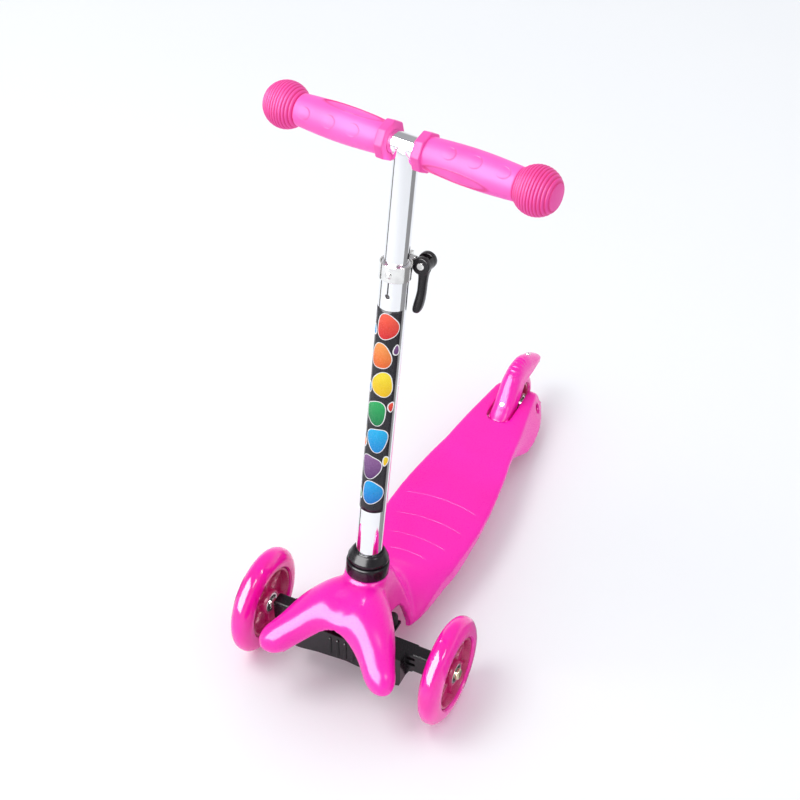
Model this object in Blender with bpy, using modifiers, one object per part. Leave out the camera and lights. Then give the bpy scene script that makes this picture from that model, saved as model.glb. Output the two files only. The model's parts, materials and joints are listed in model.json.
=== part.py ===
# Three-wheel kick scooter for a small child: two front wheels on a lean-to-steer
# carrier, one braked rear wheel, a moulded deck and a telescopic T-shaped handlebar.
# Lengths are in metres. Inside this script the origin lies on the ground below the
# front axle, +X is one side, +Y points to the rear wheel and +Z is up.

import math

import bmesh
import bpy
from mathutils import Matrix, Vector

# Clearances
TOUCH_GAP = 0.0003
RUNNING_GAP = 0.0006

# Wheels
FRONT_WHEEL_RADIUS = 0.060
FRONT_WHEEL_WIDTH = 0.024
FRONT_TYRE_BORE = 0.0403
FRONT_TRACK_HALF = 0.1112
REAR_WHEEL_RADIUS = 0.040
REAR_WHEEL_WIDTH = 0.020
REAR_TYRE_BORE = 0.0273
WHEELBASE = 0.444
TYRE_LIP = 0.002
HUB_RIM_WALL = 0.0032
HUB_WEB = 0.003
HUB_BARREL_WALL = 0.0022
HUB_BARREL_HALF = 0.0105
HUB_SPOKE_WIDTH = 0.003
HUB_SPOKE_DEPTH = 0.011
HUB_SPOKES = 6
HUB_DRAFT = 0.001
BEARING_RADIUS = 0.011
BEARING_WIDTH = 0.007
BEARING_LEDGE = 0.0015
SPACER_WALL = 0.0018
AXLE_RADIUS = 0.004
AXLE_HEAD_RADIUS = 0.0064
AXLE_HEAD_HEIGHT = 0.004
AXLE_NUT_LENGTH = 0.006
FRONT_AXLE_GRIP = 0.019

# Deck
DECK_TOP = 0.0565
DECK_HALF_WIDTH = 0.0585
DECK_REAR = 0.0185
SKIN = 0.003
DECK_RIB = 0.002
RIB_FOOT = 0.0475
RIB_X = 0.024
CROSS_RIBS = 4
CROSS_RIB_FRONT = 0.155
CROSS_RIB_PITCH = 0.050
SLOT_HALF_WIDTH = 0.016
SLOT_LENGTH = 0.0615
SLOT_CORNER = 0.0125
CHEEK_WALL = 0.0042
AXLE_CHEEK_FOOT = 0.0115
AXLE_ACCESS_GAP = 0.0004
SPOT_FACE = 0.0005

# Column
COLUMN_LEAN = math.radians(10.55)
SEAT_Y = 0.0333
SEAT_Z = FRONT_WHEEL_RADIUS + 0.0692
SEAT_RADIUS = 0.0238
SOCKET_WALL = 0.0042
SOCKET_DEPTH = 0.034
TUBE_RADIUS = 0.0141
TUBE_WALL = 0.0018
TUBE_TOP = 0.3670
SLIT_LENGTH = 0.0315
SLIT_WIDTH = 0.0016
SLIT_HOLE_RADIUS = 0.0025
COLLAR_RADIUS = 0.023
COLLAR_HEIGHT = 0.0287
COLLAR_STEP = 0.0158
BUTTON_HEIGHT = 0.0085
BUTTON_RADIUS = 0.0045
BUTTON_PROUD = 0.0035
BUTTON_INSIDE = 0.0033
BUTTON_EDGE = 0.001
BUTTON_FLANGE_RADIUS = 0.006
BUTTON_FLANGE = 0.001
BUTTON_SPRING_RADIUS = 0.003
BUTTON_SPRING_TURNS = 5

# Handlebar
INNER_RADIUS = 0.012
INNER_WALL = 0.0015
INNER_BOTTOM = 0.180
PLUG_LENGTH = 0.026
PLUG_SKIRT = 0.009
PLUG_EDGE = 0.001
BAR_HEIGHT = 0.4837
BAR_RADIUS = 0.011
BAR_WALL = 0.0015
BAR_HALF_LENGTH = 0.150
BAR_TURN = math.radians(-8)
GRIP_INNER = 0.015
GRIP_FLANGE = 0.0095
GRIP_FLANGE_RADIUS = 0.0197
GRIP_FLANGE_EDGE = 0.0012
GRIP_END_RADIUS = 0.0156
GRIP_MIDDLE_RADIUS = 0.0176
BALL_CENTRE = 0.135
BALL_RADIUS = 0.0232
BALL_CAP_RADIUS = 0.0138
BALL_CAP_GROOVE = 0.0010
BALL_STEPS = 8

# Tube clamp
CLAMP_TOP = 0.3678
CLAMP_HEIGHT = 0.0165
CLAMP_WALL = 0.0014
CLAMP_GAP = 0.003
EAR_THICKNESS = 0.003
EAR_REACH = 0.0300
EAR_CORNER = 0.020
EAR_SLOPE = math.radians(40)
CLAMP_BOLT_Y = 0.0225
CLAMP_BOLT_DROP = 0.006
CLAMP_BOLT_RADIUS = 0.0025
CLAMP_NUT_RADIUS = 0.0050
CLAMP_NUT_LENGTH = 0.0050
SPACER_RADIUS = 0.0052
SPACER_LENGTH = 0.0055
CLAMP_EDGE = 0.0008
CLAMP_BOLT_PROUD = 0.0015
LEVER_HEAD_RADIUS = 0.0089
LEVER_HEAD_WIDTH = 0.0200
LEVER_FORK_GAP = 0.0072
LEVER_PIN_RADIUS = 0.0038
LEVER_LENGTH = 0.0512
RIVET_DROP = 0.009
RIVET_HEAD_RADIUS = 0.0034
RIVET_HEAD_HEIGHT = 0.0016
RIVET_STEM_RADIUS = 0.0015

# Front carrier
KINGPIN_Y = 0.020
KINGPIN_Z = FRONT_WHEEL_RADIUS + 0.002
KINGPIN_TILT = math.radians(45)
KINGPIN_RADIUS = 0.004
KINGPIN_HEAD_RADIUS = 0.0085
KINGPIN_HEAD_HEIGHT = 0.0038
KINGPIN_HEX_RADIUS = 0.0063
KINGPIN_FLANGE = 0.0012
KINGPIN_REACH = 0.028
BARREL_RADIUS = 0.0135
BARREL_HALF_LENGTH = 0.0105
BUSHING_RADIUS = 0.0105
BUSHING_LENGTH = 0.0095
BUSHING_EDGE = 0.0013
KINGPIN_BOSS_RADIUS = 0.0125
KINGPIN_BOSS_LENGTH = 0.060
SWING_ROOM = 0.0012
INSERT_RADIUS = 0.0062
INSERT_LENGTH = 0.015
INSERT_DEPTH = 0.006
BEAM_FRONT = 0.020
BEAM_BACK = 0.008
BEAM_WALL = 0.0035
BEAM_HALF_LENGTH = 0.074
BEAM_RISE = 0.012
BEAM_ARM_HEIGHT = 0.0265
BEAM_ARM_HALF_DEPTH = 0.008
BEAM_ARM_END = 0.0945
BEAM_STEP_X = 0.0655
BEAM_RIB_PITCH = 0.009
BEAM_RIB_WIDTH = 0.0032
BEAM_RIB_HEIGHT = 0.026
BEAM_RIB_PROUD = 0.0018
BEAM_RIB_DROP = 0.007
BEAM_RIBS = 5
BEAM_EDGE = 0.001
POCKET_X = 0.0715
POCKET_RISES = (0.006, -0.003)
POCKET_SIZE = (0.0105, 0.008, 0.0042)
BUFFER_RADIUS = 0.0065
BUFFER_HEIGHT = 0.0125
BUFFER_EDGE = 0.002
BUFFER_X = 0.026
BUFFER_Y = 0.041
BUFFER_PLATE_DROP = 0.0115

# Brake
HINGE_Y = WHEELBASE - SLOT_LENGTH + 0.0105
HINGE_Z = DECK_TOP - 0.0065
HINGE_PIN_RADIUS = 0.002
HINGE_BARREL_RADIUS = 0.0042
HINGE_BARREL_LENGTH = 0.007
FENDER_SIDE_GAP = 0.0022
FENDER_WALL = 0.0022
FENDER_CROWN = 0.0115
FENDER_LEAN = 0.08
FENDER_FLAT = 0.0004
FENDER_STEP = 30
BRAKE_PLATE_HALF_WIDTH = 0.0045
BRAKE_PLATE_DROP = 0.0046
BRAKE_PLATE_THICKNESS = 0.0015
BRAKE_SCREW_RADIUS = 0.0016
BRAKE_SCREW_HEAD = 0.0033
BRAKE_SCREW_LENGTH = 0.0065
BRAKE_SCREW_SEAT = -0.0004
BRAKE_SCREW_TOP = 0.0015
SPRING_WIRE = 0.0006
BRAKE_SPRING_TURNS = 6

# Reach beyond the front axle and beyond the rear one, to centre the whole
FRONT_REACH = 0.0753
TAIL_REACH = 0.0710

# Facets round a full turn, and the sharpest angle that is shaded as round
ROUND = 24
TYRE_ROUND = 32
HUB_ROUND = 20
SMALL_ROUND = 12
SHARPEST = math.radians(38)
ALONG_X = (0, math.pi / 2, 0)
ALONG_Y = (-math.pi / 2, 0, 0)


def clear_scene():
    for obj in list(bpy.data.objects):
        bpy.data.objects.remove(obj, do_unlink=True)
    parts = bpy.data.collections.new("kick_scooter")
    cutters = bpy.data.collections.new("cutters")
    cutters.hide_render = True
    for collection in (parts, cutters):
        bpy.context.scene.collection.children.link(collection)
    return parts, cutters


PARTS, CUTTERS = clear_scene()


def material(name, colour, roughness, metallic=0.0):
    made = bpy.data.materials.new(name)
    made.use_nodes = True
    shader = made.node_tree.nodes["Principled BSDF"]
    shader.inputs["Base Color"].default_value = (*colour, 1.0)
    shader.inputs["Roughness"].default_value = roughness
    shader.inputs["Metallic"].default_value = metallic
    return made


PINK = material("glossy_pink_plastic", (1.0, 0.022, 0.46), 0.18)
GRIP_PINK = material("soft_pink_rubber", (0.95, 0.17, 0.62), 0.5)
TYRE_PINK = material("clear_pink_tyre", (1.0, 0.03, 0.42), 0.12)
HUB_PINK = material("pink_hub_plastic", (0.75, 0.01, 0.25), 0.3)
BLACK = material("black_plastic", (0.012, 0.01, 0.012), 0.35)
RUBBER = material("dark_rubber", (0.02, 0.016, 0.02), 0.7)
CHROME = material("polished_tube", (0.86, 0.87, 0.89), 0.08, 1.0)
STEEL = material("zinc_steel", (0.62, 0.6, 0.55), 0.25, 1.0)
BRASS = material("gold_zinc_steel", (0.6, 0.5, 0.33), 0.25, 1.0)


def frame(name, parent, location, rotation=(0, 0, 0)):
    empty = bpy.data.objects.new(name, None)
    empty.location = location
    empty.rotation_euler = rotation
    empty.parent = parent
    empty.empty_display_size = 0.02
    PARTS.objects.link(empty)
    return empty


# The world origin lies under the middle of the object's length, on the ground.
MIDDLE_Y = (WHEELBASE + TAIL_REACH - FRONT_REACH) / 2
BODY = frame("body_frame", None, (0, -MIDDLE_Y, 0))
COLUMN = frame("column_frame", BODY, (0, SEAT_Y, SEAT_Z), (-COLUMN_LEAN, 0, 0))
CARRIER = frame("lean_axis", BODY, (0, KINGPIN_Y, KINGPIN_Z), (KINGPIN_TILT, 0, 0))
LEVEL = frame("carrier_level", CARRIER, (0, 0, 0), (-KINGPIN_TILT, 0, 0))
BEAM = frame("front_axle_middle", LEVEL, (0, -KINGPIN_Y, FRONT_WHEEL_RADIUS - KINGPIN_Z))
SLIDE = frame("height_slide", COLUMN, (0, 0, INNER_BOTTOM))
TURN = frame("handlebar_turn_axis", SLIDE, (0, 0, 0), (0, 0, BAR_TURN))
REAR_AXLE = frame("rear_axle_middle", BODY, (0, WHEELBASE, REAR_WHEEL_RADIUS))
BRAKE = frame("brake_hinge_axis", BODY, (0, HINGE_Y, HINGE_Z))


def place(obj, parent, location=(0, 0, 0), rotation=(0, 0, 0), finish=None):
    """Puts a shape in its frame: a part if it has a finish, otherwise a helper."""
    obj.parent = parent
    obj.location = location
    obj.rotation_euler = rotation
    if finish:
        PARTS.objects.link(obj)
        obj.data.materials.clear()
        obj.data.materials.append(finish)
    else:
        CUTTERS.objects.link(obj)
        obj.hide_render = True
        obj.display_type = "WIRE"
    return obj


def from_bmesh(name, shaped):
    mesh = bpy.data.meshes.new(name)
    shaped.to_mesh(mesh)
    shaped.free()
    return bpy.data.objects.new(name, mesh)


def mesh_object(name, points, faces):
    mesh = bpy.data.meshes.new(name)
    mesh.from_pydata([tuple(point) for point in points], [], faces)
    shaped = bmesh.new()
    shaped.from_mesh(mesh)
    bmesh.ops.remove_doubles(shaped, verts=shaped.verts, dist=1e-6)
    bmesh.ops.recalc_face_normals(shaped, faces=shaped.faces)
    return from_bmesh(name, shaped)


def turned(name, profile, steps=ROUND, ring=False):
    """A piece turned about its own Z from (radius, height) points, top to bottom."""
    mesh = bpy.data.meshes.new(name)
    edges = [(i, i + 1) for i in range(len(profile) - 1)]
    if ring:
        edges.append((len(profile) - 1, 0))
    mesh.from_pydata([(radius, 0, height) for radius, height in profile], edges, [])
    obj = bpy.data.objects.new(name, mesh)
    screw = obj.modifiers.new("turn", "SCREW")
    screw.steps = steps
    screw.render_steps = steps
    screw.use_merge_vertices = True
    screw.merge_threshold = 1e-5
    return obj


def rod(name, radius, low, high, steps=SMALL_ROUND):
    """A plain cylinder along its own Z."""
    shaped = bmesh.new()
    middle = Matrix.Translation((0, 0, (low + high) / 2))
    bmesh.ops.create_cone(
        shaped, cap_ends=True, segments=steps, radius1=radius, radius2=radius, depth=high - low,
        matrix=middle,
    )
    return from_bmesh(name, shaped)


def pin(name, radius, low, high, edge, steps=SMALL_ROUND):
    """A cylinder along its own Z with chamfered ends."""
    rim = [(radius - edge, high), (radius, high - edge), (radius, low + edge), (radius - edge, low)]
    return turned(name, [(0, high), *rim, (0, low)], steps)


def sleeve(name, radius, bore, low, high, steps=SMALL_ROUND):
    return turned(name, [(radius, high), (radius, low), (bore, low), (bore, high)], steps, ring=True)


def block(name, size, bevel=0.0, segments=2):
    shaped = bmesh.new()
    bmesh.ops.create_cube(shaped, size=1.0)
    bmesh.ops.scale(shaped, vec=Vector(size), verts=shaped.verts)
    obj = from_bmesh(name, shaped)
    if bevel:
        rounding = obj.modifiers.new("edges", "BEVEL")
        rounding.width = min(bevel, min(size) / 2 - 1e-4)
        rounding.segments = segments
        rounding.limit_method = "NONE"
    return obj


def made_mesh(obj, name):
    """The evaluated shape of a curve as mesh data, its caps welded."""
    bpy.context.view_layer.update()
    graph = bpy.context.evaluated_depsgraph_get()
    shaped = bmesh.new()
    shaped.from_mesh(bpy.data.meshes.new_from_object(obj.evaluated_get(graph)))
    bmesh.ops.remove_doubles(shaped, verts=shaped.verts, dist=1e-6)
    bpy.data.objects.remove(obj)
    return from_bmesh(name, shaped)


def prism(name, outline, low, high):
    """A flat outline in X and Y, filled and raised from low to high along Z."""
    curve = bpy.data.curves.new(name, "CURVE")
    curve.dimensions = "2D"
    curve.fill_mode = "BOTH"
    curve.extrude = (high - low) / 2
    spline = curve.splines.new("POLY")
    spline.points.add(len(outline) - 1)
    for point, (x, y) in zip(spline.points, outline):
        point.co = (x, y, 0, 1)
    spline.use_cyclic_u = True
    flat = bpy.data.objects.new(name, curve)
    CUTTERS.objects.link(flat)
    solid = made_mesh(flat, name)
    for vertex in solid.data.vertices:
        vertex.co.z += (high + low) / 2
    return solid


def side_prism(name, outline, half_width, parent):
    """A prism whose outline is given in Y and Z and whose thickness runs along X."""
    solid = prism(name, outline, -half_width, half_width)
    return place(solid, parent, (0, 0, 0), (math.pi / 2, 0, math.pi / 2))


def front_prism(name, outline, y_low, y_high, parent, finish=None):
    """A prism whose outline is given in X and Z and whose thickness runs along Y."""
    solid = prism(name, outline, -y_high, -y_low)
    return place(solid, parent, (0, 0, 0), (math.pi / 2, 0, 0), finish)


def boolean(obj, others, operation):
    for other in others:
        change = obj.modifiers.new(other.name, "BOOLEAN")
        change.operation = operation
        change.solver = "EXACT"
        change.object = other


def cut(obj, *others):
    boolean(obj, others, "DIFFERENCE")


def join(obj, *others):
    boolean(obj, others, "UNION")


def arc(centre_x, centre_y, radius, start, end, pieces):
    """Points of an arc, its angles in degrees."""
    angles = [math.radians(start + (end - start) * i / pieces) for i in range(pieces + 1)]
    return [(centre_x + radius * math.cos(a), centre_y + radius * math.sin(a)) for a in angles]


def smooth_rows(rows, pieces):
    """Rows of numbers joined by a curve that passes through each of them."""
    made = []
    for i in range(len(rows) - 1):
        a, b, c, d = (rows[min(max(k, 0), len(rows) - 1)] for k in (i - 1, i, i + 1, i + 2))
        for step in range(pieces):
            t = step / pieces
            weights = (
                (-t + 2 * t * t - t**3) / 2,
                (2 - 5 * t * t + 3 * t**3) / 2,
                (t + 4 * t * t - 3 * t**3) / 2,
                (t**3 - t * t) / 2,
            )
            values = zip(a, b, c, d)
            made.append([sum(w * v for w, v in zip(weights, value)) for value in values])
    made.append(list(rows[-1]))
    return made


def loft(name, rings):
    """A closed skin over rings that all have the same number of points."""
    count = len(rings[0])
    points = [point for ring in rings for point in ring]
    faces = []
    for i in range(len(rings) - 1):
        for j in range(count):
            k = (j + 1) % count
            faces.append((i * count + j, i * count + k, (i + 1) * count + k, (i + 1) * count + j))
    faces.append(tuple(range(count)))
    faces.append(tuple((len(rings) - 1) * count + j for j in reversed(range(count))))
    return mesh_object(name, points, faces)


def smooth_by_angle():
    """A node group that shades faces as round and leaves sharp edges sharp."""
    group = bpy.data.node_groups.new("smooth_by_angle", "GeometryNodeTree")
    for in_out in ("INPUT", "OUTPUT"):
        group.interface.new_socket("Geometry", in_out=in_out, socket_type="NodeSocketGeometry")
    start = group.nodes.new("NodeGroupInput")
    round_faces = group.nodes.new("GeometryNodeSetShadeSmooth")
    angle = group.nodes.new("GeometryNodeInputMeshEdgeAngle")
    over = group.nodes.new("FunctionNodeCompare")
    over.operation = "GREATER_THAN"
    over.inputs["B"].default_value = SHARPEST
    sharp_edges = group.nodes.new("GeometryNodeSetShadeSmooth")
    sharp_edges.domain = "EDGE"
    sharp_edges.inputs["Shade Smooth"].default_value = False
    end = group.nodes.new("NodeGroupOutput")
    group.links.new(start.outputs["Geometry"], round_faces.inputs["Geometry"])
    group.links.new(round_faces.outputs["Geometry"], sharp_edges.inputs["Geometry"])
    group.links.new(angle.outputs["Unsigned Angle"], over.inputs["A"])
    group.links.new(over.outputs["Result"], sharp_edges.inputs["Selection"])
    group.links.new(sharp_edges.outputs["Geometry"], end.inputs["Geometry"])
    return group


def shade_parts():
    group = smooth_by_angle()
    for obj in PARTS.objects:
        if obj.type == "MESH":
            shading = obj.modifiers.new("smooth_by_angle", "NODES")
            shading.node_group = group


def rounded_square(power, angle):
    """A point on a circle squared off by a power, from 1 (round) down."""
    across = math.copysign(abs(math.cos(angle)) ** power, math.cos(angle))
    along = math.copysign(abs(math.sin(angle)) ** power, math.sin(angle))
    return across, along


# Wheels

BEARING_SEAT = HUB_BARREL_HALF - BEARING_WIDTH - TOUCH_GAP
BEARING_CENTRE = HUB_BARREL_HALF - BEARING_WIDTH / 2 - TOUCH_GAP / 2
BEARING_FACE = BEARING_CENTRE + BEARING_WIDTH / 2
BEARING_BORE = AXLE_RADIUS + TOUCH_GAP
SPACER_OUTER = BEARING_BORE + SPACER_WALL


# The tyre's round section: its drop from the tread as a share of the tyre's depth, and
# its distance from the middle as a share of the half width.
TYRE_LINE = ((0.0, 0.0), (0.05, 0.38), (0.20, 0.68), (0.42, 0.90), (0.62, 1.0))


def tyre(name, axle, radius, width, bore):
    half = width / 2
    outer = [(radius - (radius - bore) * drop, half * share) for drop, share in TYRE_LINE]
    outer.append((bore + TYRE_LIP, half))
    lower = [(r, -z) for r, z in outer[1:]]
    seat = [(bore, TYRE_LIP - half), (bore, half - TYRE_LIP)]
    ring = turned(name, outer[::-1] + lower + seat, TYRE_ROUND, ring=True)
    place(ring, axle, (0, 0, 0), ALONG_X, TYRE_PINK)


def hub(prefix, axle, rim, rim_half):
    """A web between rim and barrel, with ribs across it and a seat for each bearing."""
    inner = rim - HUB_RIM_WALL
    web = HUB_WEB / 2
    seat = BEARING_RADIUS + TOUCH_GAP
    barrel = seat + HUB_BARREL_WALL
    ledge = BEARING_RADIUS - BEARING_LEDGE
    outer_side = [
        (barrel, HUB_BARREL_HALF), (barrel + HUB_DRAFT, web), (inner - HUB_DRAFT, web),
        (inner, rim_half), (rim, rim_half),
    ]
    inner_side = [(r, -z) for r, z in outer_side[::-1]]
    bore_side = [
        (seat, -HUB_BARREL_HALF), (seat, -BEARING_SEAT), (ledge, -BEARING_SEAT),
        (ledge, BEARING_SEAT), (seat, BEARING_SEAT), (seat, HUB_BARREL_HALF),
    ]
    made = turned(prefix + "_hub", outer_side + inner_side + bore_side, HUB_ROUND, ring=True)
    place(made, axle, (0, 0, 0), ALONG_X, HUB_PINK)
    start = barrel - HUB_BARREL_WALL / 2
    end = inner + HUB_RIM_WALL / 2
    for i in range(HUB_SPOKES):
        angle = 2 * math.pi * i / HUB_SPOKES
        spoke = block(f"{prefix}_spoke_{i}", (HUB_SPOKE_DEPTH, HUB_SPOKE_WIDTH, end - start))
        reach = (start + end) / 2
        place(spoke, axle, (0, -reach * math.sin(angle), reach * math.cos(angle)), (angle, 0, 0))
        join(made, spoke)


def wheel(prefix, parent, x, outward, radius, width, bore):
    """Tyre, hub, two bearings and their spacer on an axle along X."""
    axle = frame(prefix + "_wheel_axle", parent, (x, 0, 0))
    tyre(prefix + "_tyre", axle, radius, width, bore)
    rim_half = width / 2 - TYRE_LIP - TOUCH_GAP
    hub(prefix, axle, bore - TOUCH_GAP, rim_half)
    half = BEARING_WIDTH / 2
    for side, sign in (("outer", 1), ("inner", -1)):
        bearing = sleeve(f"{prefix}_bearing_{side}", BEARING_RADIUS, BEARING_BORE, -half, half)
        place(bearing, axle, (sign * outward * BEARING_CENTRE, 0, 0), ALONG_X, STEEL)
    tube_half = BEARING_CENTRE - half - TOUCH_GAP
    tube = sleeve(prefix + "_bearing_spacer", SPACER_OUTER, BEARING_BORE, -tube_half, tube_half)
    place(tube, axle, (0, 0, 0), ALONG_X, STEEL)


def axle_bolt(name, parent, location, rotation, length):
    """A domed bolt: its head above z = 0 and its shank below."""
    head = AXLE_HEAD_RADIUS
    height = AXLE_HEAD_HEIGHT
    crown = [(0, height), (head * 0.7, height * 0.9), (head, height * 0.55), (head, 0)]
    profile = crown + [(AXLE_RADIUS, 0), (AXLE_RADIUS, -length), (0, -length)]
    return place(turned(name, profile, SMALL_ROUND), parent, location, rotation, BRASS)


def hex_nut(name, radius, bore, length, parent, location, rotation, finish):
    """A six-sided nut whose near face lies at z = 0 and whose body runs upward."""
    clear = bore / math.cos(math.pi / 6)
    nut = turned(name, [(radius, length), (radius, 0), (clear, 0), (clear, length)], 6, ring=True)
    place(nut, parent, location, rotation, finish)


def front_wheels():
    for name, sign in (("left", -1), ("right", 1)):
        prefix = f"front_{name}"
        x = sign * FRONT_TRACK_HALF
        wheel(prefix, BEAM, x, sign, FRONT_WHEEL_RADIUS, FRONT_WHEEL_WIDTH, FRONT_TYRE_BORE)
        outward = (0, sign * math.pi / 2, 0)
        head_x = FRONT_TRACK_HALF + BEARING_FACE + TOUCH_GAP
        length = head_x - BEAM_ARM_END + FRONT_AXLE_GRIP - TOUCH_GAP
        axle_bolt(f"front_axle_bolt_{name}", BEAM, (sign * head_x, 0, 0), outward, length)
        near = BEAM_ARM_END + TOUCH_GAP
        far = FRONT_TRACK_HALF - BEARING_FACE - TOUCH_GAP
        spacer = sleeve(f"axle_spacer_{name}", SPACER_OUTER, BEARING_BORE, near, far)
        place(spacer, BEAM, (0, 0, 0), outward, STEEL)


def rear_wheel():
    wheel("rear", REAR_AXLE, 0, 1, REAR_WHEEL_RADIUS, REAR_WHEEL_WIDTH, REAR_TYRE_BORE)
    seat = SLOT_HALF_WIDTH + CHEEK_WALL - SPOT_FACE + TOUCH_GAP
    axle_bolt("rear_axle_bolt", REAR_AXLE, (seat, 0, 0), ALONG_X, 2 * seat + AXLE_NUT_LENGTH - TOUCH_GAP)
    hex_nut(
        "rear_axle_nut", AXLE_HEAD_RADIUS, BEARING_BORE, AXLE_NUT_LENGTH, REAR_AXLE, (-seat, 0, 0),
        (0, -math.pi / 2, 0), BRASS,
    )
    for name, sign in (("left", -1), ("right", 1)):
        low = BEARING_FACE + TOUCH_GAP
        high = SLOT_HALF_WIDTH - TOUCH_GAP
        collar = sleeve(f"rear_wheel_spacer_{name}", SPACER_OUTER, BEARING_BORE, low, high)
        place(collar, REAR_AXLE, (0, 0, 0), (0, sign * math.pi / 2, 0), STEEL)


# Deck and neck

# The rows that climb from the deck to the neck. Each holds the middle of the surface
# (y, rise), its edge (x, y, rise), the skirt's foot (x, y, rise) and how squarely the
# surface turns down at its edge. Rises are taken from the deck's top.
CLIMB_ROWS = (
    (0.0660, 0.0600, 0.0232, 0.0525, 0.0605, 0.0236, 0.0310, 0.0595, 2.0),
    (0.0705, 0.0475, 0.0242, 0.0580, 0.0475, 0.0240, 0.0290, 0.0465, 2.0),
    (0.0765, 0.0355, 0.0265, 0.0625, 0.0335, 0.0252, 0.0280, 0.0315, 2.0),
    (0.0830, 0.0235, 0.0305, 0.0650, 0.0155, 0.0280, 0.0290, 0.0135, 2.0),
    (0.0900, 0.0150, 0.0345, 0.0650, 0.0025, 0.0310, 0.0330, -0.0015, 2.1),
    (0.0980, 0.0085, 0.0385, 0.0625, -0.0085, 0.0345, 0.0400, -0.0135, 2.3),
    (0.1040, 0.0055, 0.0418, 0.0608, -0.0180, 0.0400, 0.0550, -0.0235, 2.6),
    (0.1090, 0.0040, 0.0433, 0.0670, -0.0190, 0.0430, 0.0670, -0.0265, 3.0),
    (0.1150, 0.0025, 0.0465, 0.0850, -0.0150, 0.0465, 0.0850, -0.0280, 3.4),
)
CLIMB_HEIGHT = 0.0727
# The standing surface: place, edge's share of the half width, edge's drop below the
# deck's top, foot's share of the half width, foot's drop. The front rows are placed
# from the last row of the climb, along a run as long as this, and stretch with the run.
# The rear rows are placed from the rear axle.
DECK_ROWS = (
    (0.010, 0.870, 0.0085, 0.870, 0.0280),
    (0.035, 0.949, 0.0040, 0.955, 0.0235),
    (0.085, 1.000, 0.0020, 1.003, 0.0135),
    (0.130, 0.966, 0.0015, 0.969, 0.0100),
    (0.182, 0.855, 0.0015, 0.858, 0.0095),
)
DECK_RUN = 0.215
TAIL_ROWS = (
    (-0.114, 0.757, 0.0015, 0.760, 0.0110),
    (-0.092, 0.712, 0.0015, 0.720, 0.0205),
    (-0.066, 0.650, 0.0015, 0.800, 0.0325),
    (-0.039, 0.570, 0.0010, 0.800, 0.0360),
    (-0.014, 0.500, 0.0008, 0.745, 0.0370),
    (0.004, 0.455, 0.0010, 0.650, 0.0360),
)
# The rounded end of the deck: distance from its rear face, then as above.
END_ROWS = (
    (0.0065, 0.430, 0.0035, 0.590, 0.0325),
    (0.0015, 0.430, 0.0085, 0.550, 0.0265),
    (0.0, 0.440, 0.0135, 0.520, 0.0215),
)
END_DOME = 0.001
SQUARE_EDGE = 6.0
SHARES = (0.0, 0.3, 0.6, 0.82, 0.95, 1.0)


def seat_row():
    """The first row lies just under the neck's top face, inside its rim."""
    slope = math.tan(COLUMN_LEAN)
    sunk = SKIN / 3

    def on_seat(offset):
        return SEAT_Y + offset, SEAT_Z - offset * slope - sunk

    wide = SEAT_RADIUS - sunk
    return (*on_seat(wide), wide * 0.95, *on_seat(wide * 0.33), wide, *on_seat(0.0), 2.0)


def deck_rows():
    climb = (SEAT_Z - DECK_TOP) / CLIMB_HEIGHT
    rows = [seat_row()]
    for y, rise, edge_x, edge_y, edge_rise, foot_x, foot_y, foot_rise, power in CLIMB_ROWS:
        heights = [DECK_TOP + (up * climb if up > 0 else up) for up in (rise, edge_rise, foot_rise)]
        rows.append((y, heights[0], edge_x, edge_y, heights[1], foot_x, foot_y, heights[2], power))
    start = CLIMB_ROWS[-1][0]
    stretch = (WHEELBASE + TAIL_ROWS[0][0] - start) / DECK_RUN
    flat = [(start + ahead * stretch, *rest) for ahead, *rest in DECK_ROWS]
    flat += [(WHEELBASE + back, *rest) for back, *rest in TAIL_ROWS]
    for y, edge, edge_drop, foot, foot_drop in flat:
        edge_x, foot_x = edge * DECK_HALF_WIDTH, foot * DECK_HALF_WIDTH
        edge_z, foot_z = DECK_TOP - edge_drop, DECK_TOP - foot_drop
        rows.append((y, DECK_TOP, edge_x, y, edge_z, foot_x, y, foot_z, SQUARE_EDGE))
    rear = WHEELBASE + DECK_REAR
    for back, edge, edge_drop, foot, foot_drop in END_ROWS:
        y = rear - back
        edge_x, foot_x = edge * DECK_HALF_WIDTH, foot * DECK_HALF_WIDTH
        edge_z, foot_z = DECK_TOP - edge_drop, DECK_TOP - foot_drop
        rows.append((y, edge_z + END_DOME, edge_x, y, edge_z, foot_x, y, foot_z, SQUARE_EDGE))
    return rows


def deck_ring(row, inset=0.0, foot_drop=0.0):
    centre_y, centre_z, edge_x, edge_y, edge_z, foot_x, foot_y, foot_z, power = row
    steep = min(max((edge_z - DECK_TOP) / (SEAT_Z - DECK_TOP), 0.0), 1.0) * math.pi / 2
    back = inset * math.sin(steep)
    down = inset * math.cos(steep)
    right = []
    for share in SHARES:
        x = (edge_x - inset) * share
        y = centre_y + (edge_y - centre_y) * share**2 - back
        z = centre_z + (edge_z - centre_z) * share**power - down
        right.append((x, y, z))
    right.append((foot_x - inset, foot_y, foot_z - foot_drop))
    left = [(-x, y, z) for x, y, z in right[:0:-1]]
    return left + right


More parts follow.
